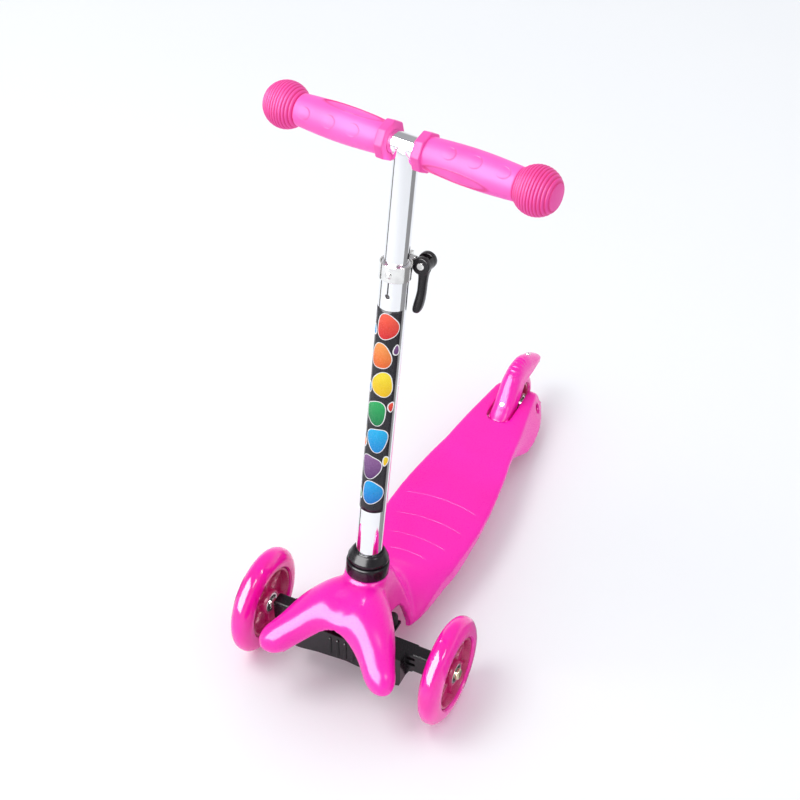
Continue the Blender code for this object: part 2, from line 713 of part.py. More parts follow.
# The nose is one moulding that runs from tip to tip in front of the neck. Each row
# holds a section's middle (x, y, rise above the front axle), its heading in degrees,
# and how far it reaches forward, rearward, up, down in front and down behind.
NOSE_ROWS = (
    (0.0000, -0.0070, 0.0520, 0, 0.0365, 0.0450, 0.0150, 0.0050, 0.0360),
    (0.0150, -0.0120, 0.0485, 8, 0.0315, 0.0450, 0.0260, 0.0085, 0.0340),
    (0.0280, -0.0215, 0.0430, 20, 0.0255, 0.0335, 0.0285, 0.0140, 0.0250),
    (0.0415, -0.0340, 0.0365, 34, 0.0205, 0.0265, 0.0258, 0.0175, 0.0185),
    (0.0510, -0.0455, 0.0295, 43, 0.0180, 0.0200, 0.0205, 0.0170, 0.0170),
    (0.0590, -0.0560, 0.0260, 46, 0.0170, 0.0170, 0.0185, 0.0180, 0.0180),
    (0.0655, -0.0625, 0.0240, 47, 0.0150, 0.0150, 0.0165, 0.0165, 0.0165),
    (0.0705, -0.0678, 0.0230, 47, 0.0110, 0.0110, 0.0125, 0.0125, 0.0125),
    (0.0737, -0.0712, 0.0223, 47, 0.0050, 0.0050, 0.0060, 0.0060, 0.0060),
)
NOSE_HOLLOW_ROWS = 6
NOSE_HOLLOW_FOOT = 0.05
NOSE_POWER = 2 / 2.2
NOSE_UPPER_STEP = 30
NOSE_LOWER_STEP = 45


def nose_outline(row, inset):
    """Offsets (forward, up) round one section of the nose, or of its open hollow."""
    front, back, up, front_down, back_down = row[4:]
    front, back, up = front - inset, back - inset, up - inset
    outline = []
    for degrees in range(180, -1, -NOSE_UPPER_STEP):
        across, along = rounded_square(NOSE_POWER, math.radians(degrees))
        outline.append(((front if degrees < 90 else back) * across, up * along))
    if inset:
        outline.append((front * 0.55, -NOSE_HOLLOW_FOOT))
        outline.append((-back * 0.55, -NOSE_HOLLOW_FOOT))
        return outline
    for degrees in range(NOSE_LOWER_STEP, 180, NOSE_LOWER_STEP):
        across, along = rounded_square(NOSE_POWER, math.radians(degrees))
        down = front_down if degrees < 90 else back_down
        outline.append(((front if degrees < 90 else back) * across, -down * along))
    return outline


def nose_ring(row, sign, inset):
    x, y, rise, heading = row[:4]
    turn = math.radians(heading)
    ring = []
    for forward, up in nose_outline(row, inset):
        across_x = x - forward * math.sin(turn)
        ring.append((sign * across_x, y - forward * math.cos(turn), FRONT_WHEEL_RADIUS + rise + up))
    return ring


def nose(name, rows, pieces, inset=0.0):
    right = smooth_rows(rows, pieces)
    rings = [nose_ring(row, -1, inset) for row in right[:0:-1]]
    rings += [nose_ring(row, 1, inset) for row in right]
    return place(loft(name, rings), BODY)


# The opening under the nose, in Y and in height above the front axle: room for the
# carrier to swing, ending behind in the arch in front of the deck's corner.
CARRIER_OPENING = (
    (-0.0270, -0.0700), (0.0560, -0.0700), (0.0565, -0.0260), (0.0575, -0.0100), (0.0560, 0.0020),
    (0.0510, 0.0100), (0.0440, 0.0125), (0.0360, 0.0135), (0.0140, 0.0170), (-0.0270, 0.0170),
)
NECK_ROOM = (0.042, 0.062, 0.060)
NECK_ROOM_RISE = 0.010
NECK_LENGTH = 0.037
NECK_FLARE = 0.0017
HOLLOW_FRONT = 0.074
HOLLOW_REAR = 0.008
BEYOND = 0.01


def neck():
    low = SEAT_RADIUS + NECK_FLARE
    side = [(SEAT_RADIUS, 0), (SEAT_RADIUS, -NECK_LENGTH * 0.6), (low, -NECK_LENGTH)]
    return place(turned("neck", [(0, 0), *side, (0, -NECK_LENGTH)]), COLUMN)


def deck_hollow():
    inside = [row for row in deck_rows() if HOLLOW_FRONT < row[0] < WHEELBASE + HOLLOW_REAR]
    hollow = place(loft("deck_hollow", [deck_ring(row, SKIN, 2 * BEYOND) for row in inside]), BODY)
    opening_outline = [(y, FRONT_WHEEL_RADIUS + rise) for y, rise in CARRIER_OPENING]
    opening = side_prism("carrier_opening", opening_outline, DECK_HALF_WIDTH, BODY)
    room = block("neck_room", NECK_ROOM)
    place(room, BODY, (0, NECK_ROOM[1] / 2, FRONT_WHEEL_RADIUS + NECK_ROOM_RISE))
    join(hollow, nose("nose_hollow", NOSE_ROWS[:NOSE_HOLLOW_ROWS], 1, SKIN), opening, room)
    return hollow


def deck_ribs():
    """Stiffening ribs inside the hollow deck: three lengthwise and a row across."""
    height = DECK_TOP + BEYOND - RIB_FOOT
    middle_z = RIB_FOOT + height / 2
    start = CROSS_RIB_FRONT - CROSS_RIB_PITCH / 2
    length = WHEELBASE - SLOT_LENGTH - start
    ribs = []
    for i, x in enumerate((-RIB_X, 0.0, RIB_X)):
        rib = block(f"rib_long_{i}", (DECK_RIB, length, height))
        ribs.append(place(rib, BODY, (x, start + length / 2, middle_z)))
    for i in range(CROSS_RIBS):
        rib = block(f"rib_cross_{i}", (2 * DECK_HALF_WIDTH + BEYOND, DECK_RIB, height - TOUCH_GAP))
        ribs.append(place(rib, BODY, (0, CROSS_RIB_FRONT + CROSS_RIB_PITCH * i, middle_z + TOUCH_GAP / 2)))
    return ribs


def slot_outline(half_width, corner, end):
    """The rear wheel's slot: square in front with rounded corners, open behind."""
    front = WHEELBASE - SLOT_LENGTH - (half_width - SLOT_HALF_WIDTH)
    right = arc(half_width - corner, front + corner, corner, 0, -90, 4)
    left = [(-x, y) for x, y in right[::-1]]
    return [(half_width, end), *right, *left, (-half_width, end)]


def rear_fork():
    """The cheeks beside the rear wheel, and what is cut out between and through them."""
    outer = SLOT_HALF_WIDTH + CHEEK_WALL
    rear = WHEELBASE + DECK_REAR
    cheek_line = slot_outline(outer, SLOT_CORNER + CHEEK_WALL, rear + BEYOND)
    cheek_foot = REAR_WHEEL_RADIUS - AXLE_CHEEK_FOOT
    cheeks = place(prism("cheeks", cheek_line, cheek_foot, DECK_TOP + BEYOND), BODY)
    slot_line = slot_outline(SLOT_HALF_WIDTH, SLOT_CORNER, rear + 2 * BEYOND)
    slot = place(prism("wheel_slot", slot_line, -BEYOND, DECK_TOP + 2 * BEYOND), BODY)
    axle = rod("axle_hole", BEARING_BORE, -outer - BEYOND, outer + BEYOND)
    cutters = [slot, place(axle, REAR_AXLE, (0, 0, 0), ALONG_X)]
    access = AXLE_HEAD_RADIUS + AXLE_ACCESS_GAP
    for name, sign in (("left", -1), ("right", 1)):
        hole = rod(f"axle_access_{name}", access, outer - SPOT_FACE, DECK_HALF_WIDTH)
        cutters.append(place(hole, REAR_AXLE, (0, 0, 0), (0, sign * math.pi / 2, 0)))
    hinge = rod("hinge_hole", HINGE_PIN_RADIUS + TOUCH_GAP, -outer - TOUCH_GAP, outer + TOUCH_GAP)
    cutters.append(place(hinge, BRAKE, (0, 0, 0), ALONG_X))
    return cheeks, cutters


# The rib in front of the socket, in Y and in height above the front axle.
NOSE_RIB = (
    (-0.0150, 0.0300), (0.0060, 0.0200), (0.0160, 0.0380),
    (0.0160, 0.0700), (-0.0260, 0.0760), (-0.0360, 0.0480),
)
BOSS_LOW = BARREL_HALF_LENGTH + BUSHING_LENGTH + 2 * TOUCH_GAP
INSERT_LOW = BOSS_LOW + INSERT_DEPTH


def neck_socket():
    """The sleeve that holds the column, the kingpin's boss and the rib between them."""
    inner = TUBE_RADIUS + TOUCH_GAP
    socket = rod("socket", inner + SOCKET_WALL, -SOCKET_DEPTH - SOCKET_WALL, BEYOND, ROUND)
    boss = rod("kingpin_boss", KINGPIN_BOSS_RADIUS, BOSS_LOW, BOSS_LOW + KINGPIN_BOSS_LENGTH)
    rib_outline = [(y, FRONT_WHEEL_RADIUS + rise) for y, rise in NOSE_RIB]
    rib = side_prism("nose_rib", rib_outline, DECK_RIB, BODY)
    bore = rod("socket_bore", inner, -SOCKET_DEPTH, BEYOND, ROUND)
    shank_radius = KINGPIN_RADIUS + TOUCH_GAP
    shank = rod("kingpin_hole", shank_radius, BOSS_LOW - BEYOND, BOSS_LOW + KINGPIN_REACH)
    insert_top = INSERT_LOW + INSERT_LENGTH + 2 * TOUCH_GAP
    seat = rod("insert_hole", INSERT_RADIUS + TOUCH_GAP, INSERT_LOW, insert_top)
    kept = [place(socket, COLUMN), place(boss, CARRIER), rib]
    return kept, [place(bore, COLUMN), place(shank, CARRIER), place(seat, CARRIER)]


def deck_body():
    """The outer skin, less one hollow that leaves out every rib, cheek and boss."""
    rows = smooth_rows(deck_rows(), 2)
    body = place(loft("deck_body", [deck_ring(row) for row in rows]), BODY, finish=PINK)
    join(body, neck(), nose("nose", NOSE_ROWS, 2))
    cheeks, fork_cutters = rear_fork()
    bosses, socket_cutters = neck_socket()
    hollow = deck_hollow()
    cut(hollow, cheeks, *bosses, *deck_ribs())
    join(hollow, *fork_cutters, *socket_cutters)
    cut(body, hollow)


# Column

# The collar's outline: inset from its widest radius, with the drop from its top for the
# dome and the rise from its step for the groove and the skirt's shoulder.
COLLAR_DOME = ((0.0054, 0.0014), (0.0034, 0.0048), (0.0013, 0.0088))
COLLAR_GROOVE = (
    (0.0013, 0.0012), (0.0030, 0.0004), (0.0030, -0.0006), (0.0008, -0.0010), (0.0, -0.0026),
)
COLLAR_LIP = 0.001


def column():
    """The fixed tube, its collar on the neck and the button that holds it there."""
    inside = TUBE_RADIUS - TUBE_WALL
    tube = sleeve("column_tube", TUBE_RADIUS, inside, -SOCKET_DEPTH + TOUCH_GAP, TUBE_TOP, ROUND)
    place(tube, COLUMN, finish=CHROME)
    slit = block("tube_slit", (SLIT_WIDTH, TUBE_RADIUS, SLIT_LENGTH))
    place(slit, COLUMN, (0, -TUBE_RADIUS, TUBE_TOP - SLIT_LENGTH / 2 + TOUCH_GAP))
    hole = rod("slit_hole", SLIT_HOLE_RADIUS, inside / 2, TUBE_RADIUS + BEYOND)
    place(hole, COLUMN, (0, 0, TUBE_TOP - SLIT_LENGTH), (math.pi / 2, 0, 0))
    button_hole = rod("button_hole", BUTTON_RADIUS + TOUCH_GAP, inside / 2, TUBE_RADIUS + BEYOND)
    place(button_hole, COLUMN, (0, 0, BUTTON_HEIGHT), ALONG_Y)
    cut(tube, slit, hole, button_hole)
    column_collar()
    column_button(inside)


def column_collar():
    """A domed ring round the tube's foot, with a groove between dome and skirt."""
    bore = TUBE_RADIUS + TOUCH_GAP
    dome = [(bore + COLLAR_LIP, COLLAR_HEIGHT)]
    dome += [(COLLAR_RADIUS - inset, COLLAR_HEIGHT - drop) for inset, drop in COLLAR_DOME]
    skirt = [(COLLAR_RADIUS - inset, COLLAR_STEP + rise) for inset, rise in COLLAR_GROOVE]
    foot = [(COLLAR_RADIUS, TOUCH_GAP + COLLAR_LIP), (COLLAR_RADIUS - COLLAR_LIP, TOUCH_GAP)]
    bore_side = [(bore, TOUCH_GAP), (bore, COLLAR_HEIGHT - COLLAR_LIP)]
    collar = turned("column_collar", dome + skirt + foot + bore_side, ROUND, ring=True)
    place(collar, COLUMN, finish=BLACK)
    hole = rod("collar_button_hole", BUTTON_RADIUS + RUNNING_GAP, bore / 2, COLLAR_RADIUS + BEYOND)
    place(hole, COLUMN, (0, 0, BUTTON_HEIGHT), ALONG_Y)
    cut(collar, hole)


def column_button(tube_inside):
    button_axis = frame("button_axis", COLUMN, (0, 0, BUTTON_HEIGHT), ALONG_Y)
    low = tube_inside - BUTTON_INSIDE
    high = COLLAR_RADIUS + BUTTON_PROUD
    shoulder = low + BUTTON_FLANGE
    crown = [(0, high), (BUTTON_RADIUS - BUTTON_EDGE, high), (BUTTON_RADIUS, high - BUTTON_EDGE)]
    flange = [(BUTTON_RADIUS, shoulder), (BUTTON_FLANGE_RADIUS, shoulder), (BUTTON_FLANGE_RADIUS, low)]
    button = turned("column_button", crown + flange + [(0, low)], SMALL_ROUND)
    place(button, button_axis, finish=BLACK)
    wall = math.sqrt(tube_inside**2 - (BUTTON_SPRING_RADIUS + SPRING_WIRE) ** 2)
    foot = TOUCH_GAP - wall
    name = "column_button_spring"
    coil(name, button_axis, BUTTON_SPRING_RADIUS, foot, low - TOUCH_GAP, BUTTON_SPRING_TURNS)


def coil(name, parent, radius, low, high, turns, rotation=(0, 0, 0)):
    """A round wire wound about its own Z from low to high."""
    curve = bpy.data.curves.new(name, "CURVE")
    curve.dimensions = "3D"
    curve.bevel_depth = SPRING_WIRE
    curve.bevel_resolution = 0
    curve.use_fill_caps = True
    steps = turns * 8
    first = low + SPRING_WIRE
    rise = high - low - 2 * SPRING_WIRE
    points = []
    for i in range(steps + 1):
        angle = 2 * math.pi * turns * i / steps
        points.append((radius * math.cos(angle), radius * math.sin(angle), first + rise * i / steps))
    spline = curve.splines.new("POLY")
    spline.points.add(len(points) - 1)
    for point, place_of in zip(spline.points, points):
        point.co = (*place_of, 1)
    return place(bpy.data.objects.new(name, curve), parent, (0, 0, 0), rotation, STEEL)


# Tube clamp

def tube_clamp():
    """A band round the tube's slit end with two ears behind, drawn together by a cam lever."""
    ear = CLAMP_GAP / 2 + EAR_THICKNESS
    bolt_z = CLAMP_TOP - CLAMP_BOLT_DROP
    at_bolt = (0, CLAMP_BOLT_Y, bolt_z)
    clamp_band(ear, at_bolt)
    near = ear + TOUCH_GAP
    far = near + SPACER_LENGTH
    bore = CLAMP_BOLT_RADIUS + TOUCH_GAP
    rim = [(SPACER_RADIUS - CLAMP_EDGE, far), (SPACER_RADIUS, far - CLAMP_EDGE), (SPACER_RADIUS, near)]
    spacer = turned("clamp_spacer", rim + [(bore, near), (bore, far)], SMALL_ROUND, ring=True)
    place(spacer, COLUMN, at_bolt, ALONG_X, STEEL)
    hex_nut(
        "clamp_nut", CLAMP_NUT_RADIUS, bore, CLAMP_NUT_LENGTH, COLUMN, (-near, CLAMP_BOLT_Y, bolt_z),
        (0, -math.pi / 2, 0), STEEL,
    )
    lever_x = far + TOUCH_GAP + LEVER_HEAD_RADIUS
    bolt_end = lever_x - LEVER_PIN_RADIUS - TOUCH_GAP
    bolt_start = -near - CLAMP_NUT_LENGTH - CLAMP_BOLT_PROUD
    bolt = pin("clamp_bolt", CLAMP_BOLT_RADIUS, bolt_start, bolt_end, CLAMP_EDGE / 2)
    place(bolt, COLUMN, at_bolt, ALONG_X, STEEL)
    clamp_lever(lever_x, bolt_z)


def clamp_band(ear, at_bolt):
    inner = TUBE_RADIUS + TOUCH_GAP
    outer = inner + CLAMP_WALL
    gap = CLAMP_GAP / 2
    low = CLAMP_TOP - CLAMP_HEIGHT
    from_ear = math.degrees(math.asin(ear / outer))
    from_gap = math.degrees(math.asin(gap / inner))
    outside = arc(0, 0, outer, 90 - from_ear, -270 + from_ear, 28)
    inside = arc(0, 0, inner, -270 + from_gap, 90 - from_gap, 28)
    outline = [(ear, EAR_REACH), *outside, (-ear, EAR_REACH), (-gap, EAR_REACH), *inside, (gap, EAR_REACH)]
    band = place(prism("clamp_band", outline, low, CLAMP_TOP), COLUMN, finish=STEEL)
    hole = rod("clamp_bolt_hole", CLAMP_BOLT_RADIUS + TOUCH_GAP, -ear - BEYOND, ear + BEYOND)
    place(hole, COLUMN, at_bolt, ALONG_X)
    corner = block("ear_corner", (EAR_CORNER, EAR_CORNER, EAR_CORNER))
    place(corner, COLUMN, (0, EAR_REACH + EAR_CORNER / 3, low), (EAR_SLOPE, 0, 0))
    rivet_z = CLAMP_TOP - RIVET_DROP
    rivet_hole = rod("rivet_hole", RIVET_STEM_RADIUS + TOUCH_GAP, inner / 2, outer + BEYOND)
    place(rivet_hole, COLUMN, (0, 0, rivet_z), (math.pi / 2, 0, 0))
    cut(band, hole, corner, rivet_hole)
    shoulder = (RIVET_HEAD_RADIUS * 0.6, RIVET_HEAD_HEIGHT * 0.8)
    stem = [(RIVET_STEM_RADIUS, 0), (RIVET_STEM_RADIUS, -CLAMP_WALL), (0, -CLAMP_WALL)]
    line = [(0, RIVET_HEAD_HEIGHT), shoulder, (RIVET_HEAD_RADIUS, 0), *stem]
    rivet = turned("clamp_rivet", line, SMALL_ROUND)
    place(rivet, COLUMN, (0, -outer - TOUCH_GAP, rivet_z), (math.pi / 2, 0, 0), STEEL)


# The lever's handle: drop below its pivot, middle in X and Y, half thickness in X and
# half width in Y.
LEVER_ROWS = (
    (0.0030, 0.0010, -0.0010, 0.0068, 0.0080),
    (0.0110, 0.0012, -0.0020, 0.0048, 0.0060),
    (0.0190, 0.0014, -0.0028, 0.0042, 0.0056),
    (0.0290, 0.0014, -0.0032, 0.0042, 0.0058),
    (0.0390, 0.0004, -0.0036, 0.0046, 0.0066),
    (0.0460, -0.0006, -0.0040, 0.0045, 0.0066),
    (0.0500, -0.0012, -0.0042, 0.0034, 0.0050),
    (0.0512, -0.0014, -0.0042, 0.0018, 0.0028),
)
LEVER_SQUARE = 0.75
LEVER_SIDES = 10


def clamp_lever(lever_x, bolt_z):
    pivot = frame("lever_axis", COLUMN, (lever_x, CLAMP_BOLT_Y, bolt_z))
    half = LEVER_HEAD_WIDTH / 2
    lever = pin("clamp_lever", LEVER_HEAD_RADIUS, -half, half, CLAMP_EDGE, ROUND)
    place(lever, pivot, (0, 0, 0), ALONG_Y, BLACK)
    stretch = LEVER_LENGTH / LEVER_ROWS[-1][0]
    rings = []
    for drop, x, y, thick, wide in LEVER_ROWS:
        ring = []
        for i in range(LEVER_SIDES):
            across, along = rounded_square(LEVER_SQUARE, 2 * math.pi * i / LEVER_SIDES)
            ring.append((x + thick * across, y + wide * along, -drop * stretch))
        rings.append(ring)
    handle = place(loft("lever_handle", rings), pivot)
    room = 2 * LEVER_HEAD_RADIUS + 2 * CLAMP_EDGE
    fork = block("lever_fork", (room, LEVER_FORK_GAP, room))
    place(fork, pivot, (-room / 5, 0, room / 5))
    pin_hole = rod("lever_pin_hole", LEVER_PIN_RADIUS + TOUCH_GAP, -half - BEYOND, half + BEYOND)
    place(pin_hole, pivot, (0, 0, 0), ALONG_Y)
    join(lever, handle)
    cut(lever, fork, pin_hole)
    pin_half = half + TOUCH_GAP
    pivot_pin = pin("lever_pivot_pin", LEVER_PIN_RADIUS, -pin_half, pin_half, CLAMP_EDGE / 2)
    place(pivot_pin, pivot, (0, 0, 0), ALONG_Y, STEEL)


# Handlebar

def handlebar():
    """The inner tube with its cross bar, which slides and turns in the column."""
    wide = TUBE_RADIUS - TUBE_WALL - TOUCH_GAP
    spigot = INNER_RADIUS - INNER_WALL - TOUCH_GAP
    foot = -PLUG_SKIRT
    edge = [(wide, 0), (wide, foot + PLUG_EDGE), (wide - PLUG_EDGE, foot), (0, foot)]
    plug = turned("inner_tube_plug", [(0, PLUG_LENGTH), (spigot, PLUG_LENGTH), (spigot, 0), *edge])
    place(plug, SLIDE, finish=BLACK)
    rise = BAR_HEIGHT - INNER_BOTTOM
    bar = place(rod("t_bar", INNER_RADIUS, TOUCH_GAP, rise, ROUND), TURN, finish=CHROME)
    cross = rod("cross_bar", BAR_RADIUS, -BAR_HALF_LENGTH, BAR_HALF_LENGTH, ROUND)
    inside = rod("inner_tube_bore", INNER_RADIUS - INNER_WALL, -BEYOND, rise - BAR_RADIUS / 2, ROUND)
    reach = BAR_HALF_LENGTH + BEYOND
    across = rod("cross_bar_bore", BAR_RADIUS - BAR_WALL, -reach, reach, ROUND)
    join(bar, place(cross, TURN, (0, 0, rise), ALONG_X))
    cut(bar, place(inside, TURN), place(across, TURN, (0, 0, rise), ALONG_X))
    for name, sign in (("left", -1), ("right", 1)):
        grip(f"grip_{name}", sign, rise)


def grip(name, sign, rise):
    """A barrel-shaped sleeve that ends in a ball, with an eight-sided flange inboard."""
    bore = BAR_RADIUS + TOUCH_GAP
    start = GRIP_INNER + GRIP_FLANGE - TOUCH_GAP
    joins = math.asin(GRIP_END_RADIUS / BALL_RADIUS)
    ends = math.pi - math.asin(BALL_CAP_RADIUS / BALL_RADIUS)
    ball = []
    for i in range(BALL_STEPS + 1):
        angle = joins + (ends - joins) * i / BALL_STEPS
        ball.append((BALL_RADIUS * math.sin(angle), BALL_CENTRE - BALL_RADIUS * math.cos(angle)))
    middle = (start + ball[0][1]) / 2
    swell = GRIP_MIDDLE_RADIUS - GRIP_END_RADIUS
    quarter = GRIP_END_RADIUS + swell * 0.75
    body = [(GRIP_END_RADIUS, start), (quarter, (start + middle) / 2), (GRIP_MIDDLE_RADIUS, middle)]
    body.append((quarter, (middle + ball[0][1]) / 2))
    cap_end = ball[-1][1]
    cap_radius = BALL_CAP_RADIUS - BALL_CAP_GROOVE
    cap = [(cap_radius, cap_end - BALL_CAP_GROOVE), (cap_radius, cap_end), (0, cap_end + BALL_CAP_GROOVE)]
    inner_end = BAR_HALF_LENGTH + TOUCH_GAP
    profile = (body + ball + cap)[::-1] + [(bore, start), (bore, inner_end), (0, inner_end)]
    outward = (0, sign * math.pi / 2, 0)
    made = place(turned(name, profile, ROUND), TURN, (0, 0, rise), outward, GRIP_PINK)
    wide = GRIP_FLANGE_RADIUS
    edge = GRIP_FLANGE_EDGE
    high = GRIP_INNER + GRIP_FLANGE
    rim = [(wide - edge, high), (wide, high - edge), (wide, GRIP_INNER + edge), (wide - edge, GRIP_INNER)]
    flange = turned(name + "_flange", [(0, high), *rim, (0, GRIP_INNER)], 8)
    join(made, place(flange, TURN, (0, 0, rise), outward))
    through = rod(name + "_bore", bore, GRIP_INNER - BEYOND, high + BEYOND, ROUND)
    cut(made, place(through, TURN, (0, 0, rise), outward))


# Front carrier

# The foot of the beam's front outline, in X and in height from the axle.
BEAM_FOOT = (
    (0.0700, -0.0160), (0.0660, -0.0240), (0.0640, -0.0300), (0.0600, -0.0315),
    (0.0540, -0.0310), (0.0350, -0.0270), (0.0, -0.0235),
)
BAY_FOOT = ((0.0600, -0.0260), (0.0350, -0.0230), (0.0195, -0.0215))


def carrier():
    """The lean-to-steer beam between the front wheels, on its kingpin."""
    arm_foot = BEAM_RISE - BEAM_ARM_HEIGHT
    half = [(0.0, BEAM_RISE), (BEAM_HALF_LENGTH, BEAM_RISE), (BEAM_HALF_LENGTH, arm_foot), *BEAM_FOOT]
    outline = half + [(-x, z) for x, z in half[-2:0:-1]]
    beam = front_prism("axle_beam", outline, -BEAM_FRONT, BEAM_BACK, BEAM, BLACK)
    for name, sign in (("left", -1), ("right", 1)):
        length = BEAM_ARM_END - POCKET_X + POCKET_SIZE[0]
        arm_size = (length, 2 * BEAM_ARM_HALF_DEPTH, BEAM_ARM_HEIGHT)
        arm = block(f"beam_arm_{name}", arm_size, 2 * BEAM_EDGE)
        place(arm, BEAM, (sign * (BEAM_ARM_END - length / 2), 0, arm_foot + BEAM_ARM_HEIGHT / 2))
        plate_length = BUFFER_Y + BUFFER_RADIUS
        plate_width = 2 * BUFFER_RADIUS + 2 * BEAM_EDGE
        plate = block(f"buffer_plate_{name}", (plate_width, plate_length, BEAM_WALL))
        place(plate, BEAM, (sign * BUFFER_X, plate_length / 2, -BUFFER_PLATE_DROP - BEAM_WALL / 2))
        join(beam, arm)
        cut(beam, *beam_openings(name, sign))
        join(beam, plate)
    rib_size = (BEAM_RIB_WIDTH, 2 * BEAM_RIB_PROUD, BEAM_RIB_HEIGHT)
    for i in range(BEAM_RIBS):
        x = (i - (BEAM_RIBS - 1) / 2) * BEAM_RIB_PITCH
        rib = block(f"beam_rib_{i}", rib_size, BEAM_EDGE, 1)
        join(beam, place(rib, BEAM, (x, -BEAM_FRONT, -BEAM_RIB_DROP)))
    barrel = rod("beam_barrel", BARREL_RADIUS, -BARREL_HALF_LENGTH, BARREL_HALF_LENGTH, ROUND)
    room = KINGPIN_BOSS_RADIUS + SWING_ROOM
    far = 8 * BARREL_HALF_LENGTH
    above = place(rod("bushing_room_above", room, BARREL_HALF_LENGTH, far, ROUND), CARRIER)
    below = place(rod("bushing_room_below", room, -far, -BARREL_HALF_LENGTH, ROUND), CARRIER)
    bore = place(rod("beam_bore", KINGPIN_RADIUS + TOUCH_GAP, -far, far), CARRIER)
    join(beam, place(barrel, CARRIER))
    cut(beam, above, below, bore)
    kingpin()
    steer_buffers()


def beam_openings(name, sign):
    """The bay behind the beam's face, the step beside it, the pockets and the axle's hole."""
    top = BEAM_RISE - BEAM_WALL
    inner_x, outer_x = BAY_FOOT[-1][0], BAY_FOOT[0][0]
    bay_line = [(sign * x, z) for x, z in ((inner_x, top), (outer_x, top), *BAY_FOOT)]
    bay = front_prism(f"beam_bay_{name}", bay_line, -BEAM_FRONT + BEAM_WALL, BEAM_BACK + BEYOND, BEAM)
    size = 3 * BEYOND
    step = block(f"beam_step_{name}", (size, size, 3 * size))
    place(step, BEAM, (sign * (BEAM_STEP_X + size / 2), -BEAM_ARM_HALF_DEPTH - size / 2, 0))
    hole_end = BEAM_ARM_END - FRONT_AXLE_GRIP
    hole = rod(f"beam_axle_hole_{name}", AXLE_RADIUS + TOUCH_GAP, hole_end, BEAM_ARM_END + BEYOND)
    place(hole, BEAM, (0, 0, 0), (0, sign * math.pi / 2, 0))
    openings = [bay, step, hole]
    for i, rise in enumerate(POCKET_RISES):
        pocket = block(f"beam_pocket_{name}_{i}", POCKET_SIZE, BEAM_EDGE, 1)
        openings.append(place(pocket, BEAM, (sign * POCKET_X, -BEAM_ARM_HALF_DEPTH, rise)))
    return openings


def kingpin():
    top = BARREL_HALF_LENGTH + TOUCH_GAP
    bore = KINGPIN_RADIUS + TOUCH_GAP
    high = BUSHING_LENGTH
    edge = BUSHING_RADIUS - BUSHING_EDGE
    rim = [(edge, high), (BUSHING_RADIUS, high - BUSHING_EDGE), (BUSHING_RADIUS, BUSHING_EDGE), (edge, 0.0)]
    for name, low in (("upper", top), ("lower", -top - BUSHING_LENGTH)):
        line = rim + [(bore, 0.0), (bore, high)]
        bushing = turned(f"{name}_bushing", line, SMALL_ROUND, ring=True)
        place(bushing, CARRIER, (0, 0, low), (0, 0, 0), RUBBER)
    under = -top - BUSHING_LENGTH - TOUCH_GAP
    flange_foot = under - KINGPIN_FLANGE
    end = under - KINGPIN_HEAD_HEIGHT
    reach = BOSS_LOW + KINGPIN_REACH - 2 * TOUCH_GAP
    flange = [(KINGPIN_HEAD_RADIUS, under), (KINGPIN_HEAD_RADIUS, flange_foot)]
    head = [(KINGPIN_HEX_RADIUS, flange_foot), (KINGPIN_HEX_RADIUS, end), (0, end)]
    shank = [(0, reach), (KINGPIN_RADIUS, reach), (KINGPIN_RADIUS, under)]
    bolt = turned("kingpin_bolt", shank + flange + head, SMALL_ROUND)
    place(bolt, CARRIER, finish=STEEL)
    low = INSERT_LOW + TOUCH_GAP
    insert = sleeve("kingpin_insert", INSERT_RADIUS, bore, low, low + INSERT_LENGTH)
    place(insert, CARRIER, finish=BRASS)


def steer_buffers():
    """Two rubber blocks on the beam's plates that meet the shell at full lean."""
    edge = BUFFER_RADIUS - BUFFER_EDGE
    rim = [(edge, BUFFER_HEIGHT), (BUFFER_RADIUS, BUFFER_HEIGHT - BUFFER_EDGE), (BUFFER_RADIUS, 0)]
    foot_z = -BUFFER_PLATE_DROP + TOUCH_GAP
    for name, sign in (("left", -1), ("right", 1)):
        line = [(0, BUFFER_HEIGHT), *rim, (0, 0)]
        buffer = turned(f"steer_buffer_{name}", line, SMALL_ROUND)
        place(buffer, BEAM, (sign * BUFFER_X, BUFFER_Y, foot_z), (0, 0, 0), RUBBER)


# Brake

# The fender's back line over the rear wheel, from the rear axle: Y, Z, how deep its
# sides reach below it, how much narrower it is on each side, and the round crown's
# share of that depth.
FENDER_ROWS = (
    (-0.0602, 0.0145, 0.0045, 0.0075, 0.60),
    (-0.0585, 0.0158, 0.0085, 0.0040, 0.55),
    (-0.0550, 0.0178, 0.0135, 0.0015, 0.50),
    (-0.0490, 0.0217, 0.0170, 0.0004, 0.50),
    (-0.0410, 0.0273, 0.0210, 0.0, 0.50),
    (-0.0320, 0.0383, 0.0240, 0.0002, 0.50),
    (-0.0245, 0.0485, 0.0260, 0.0005, 0.53),
    (-0.0170, 0.0560, 0.0275, 0.0010, 0.58),
    (-0.0080, 0.0605, 0.0285, 0.0010, 0.66),
    (0.0010, 0.0620, 0.0290, 0.0010, 0.68),
    (0.0140, 0.0605, 0.0285, 0.0010, 0.68),
    (0.0260, 0.0565, 0.0250, 0.0010, 0.68),
    (0.0390, 0.0490, 0.0200, 0.0014, 0.68),
    (0.0520, 0.0405, 0.0120, 0.0022, 0.68),
    (0.0640, 0.0320, 0.0075, 0.0040, 0.68),
    (0.0710, 0.0255, 0.0050, 0.0070, 0.68),
)
SCREW_ROWS = (4, 12)


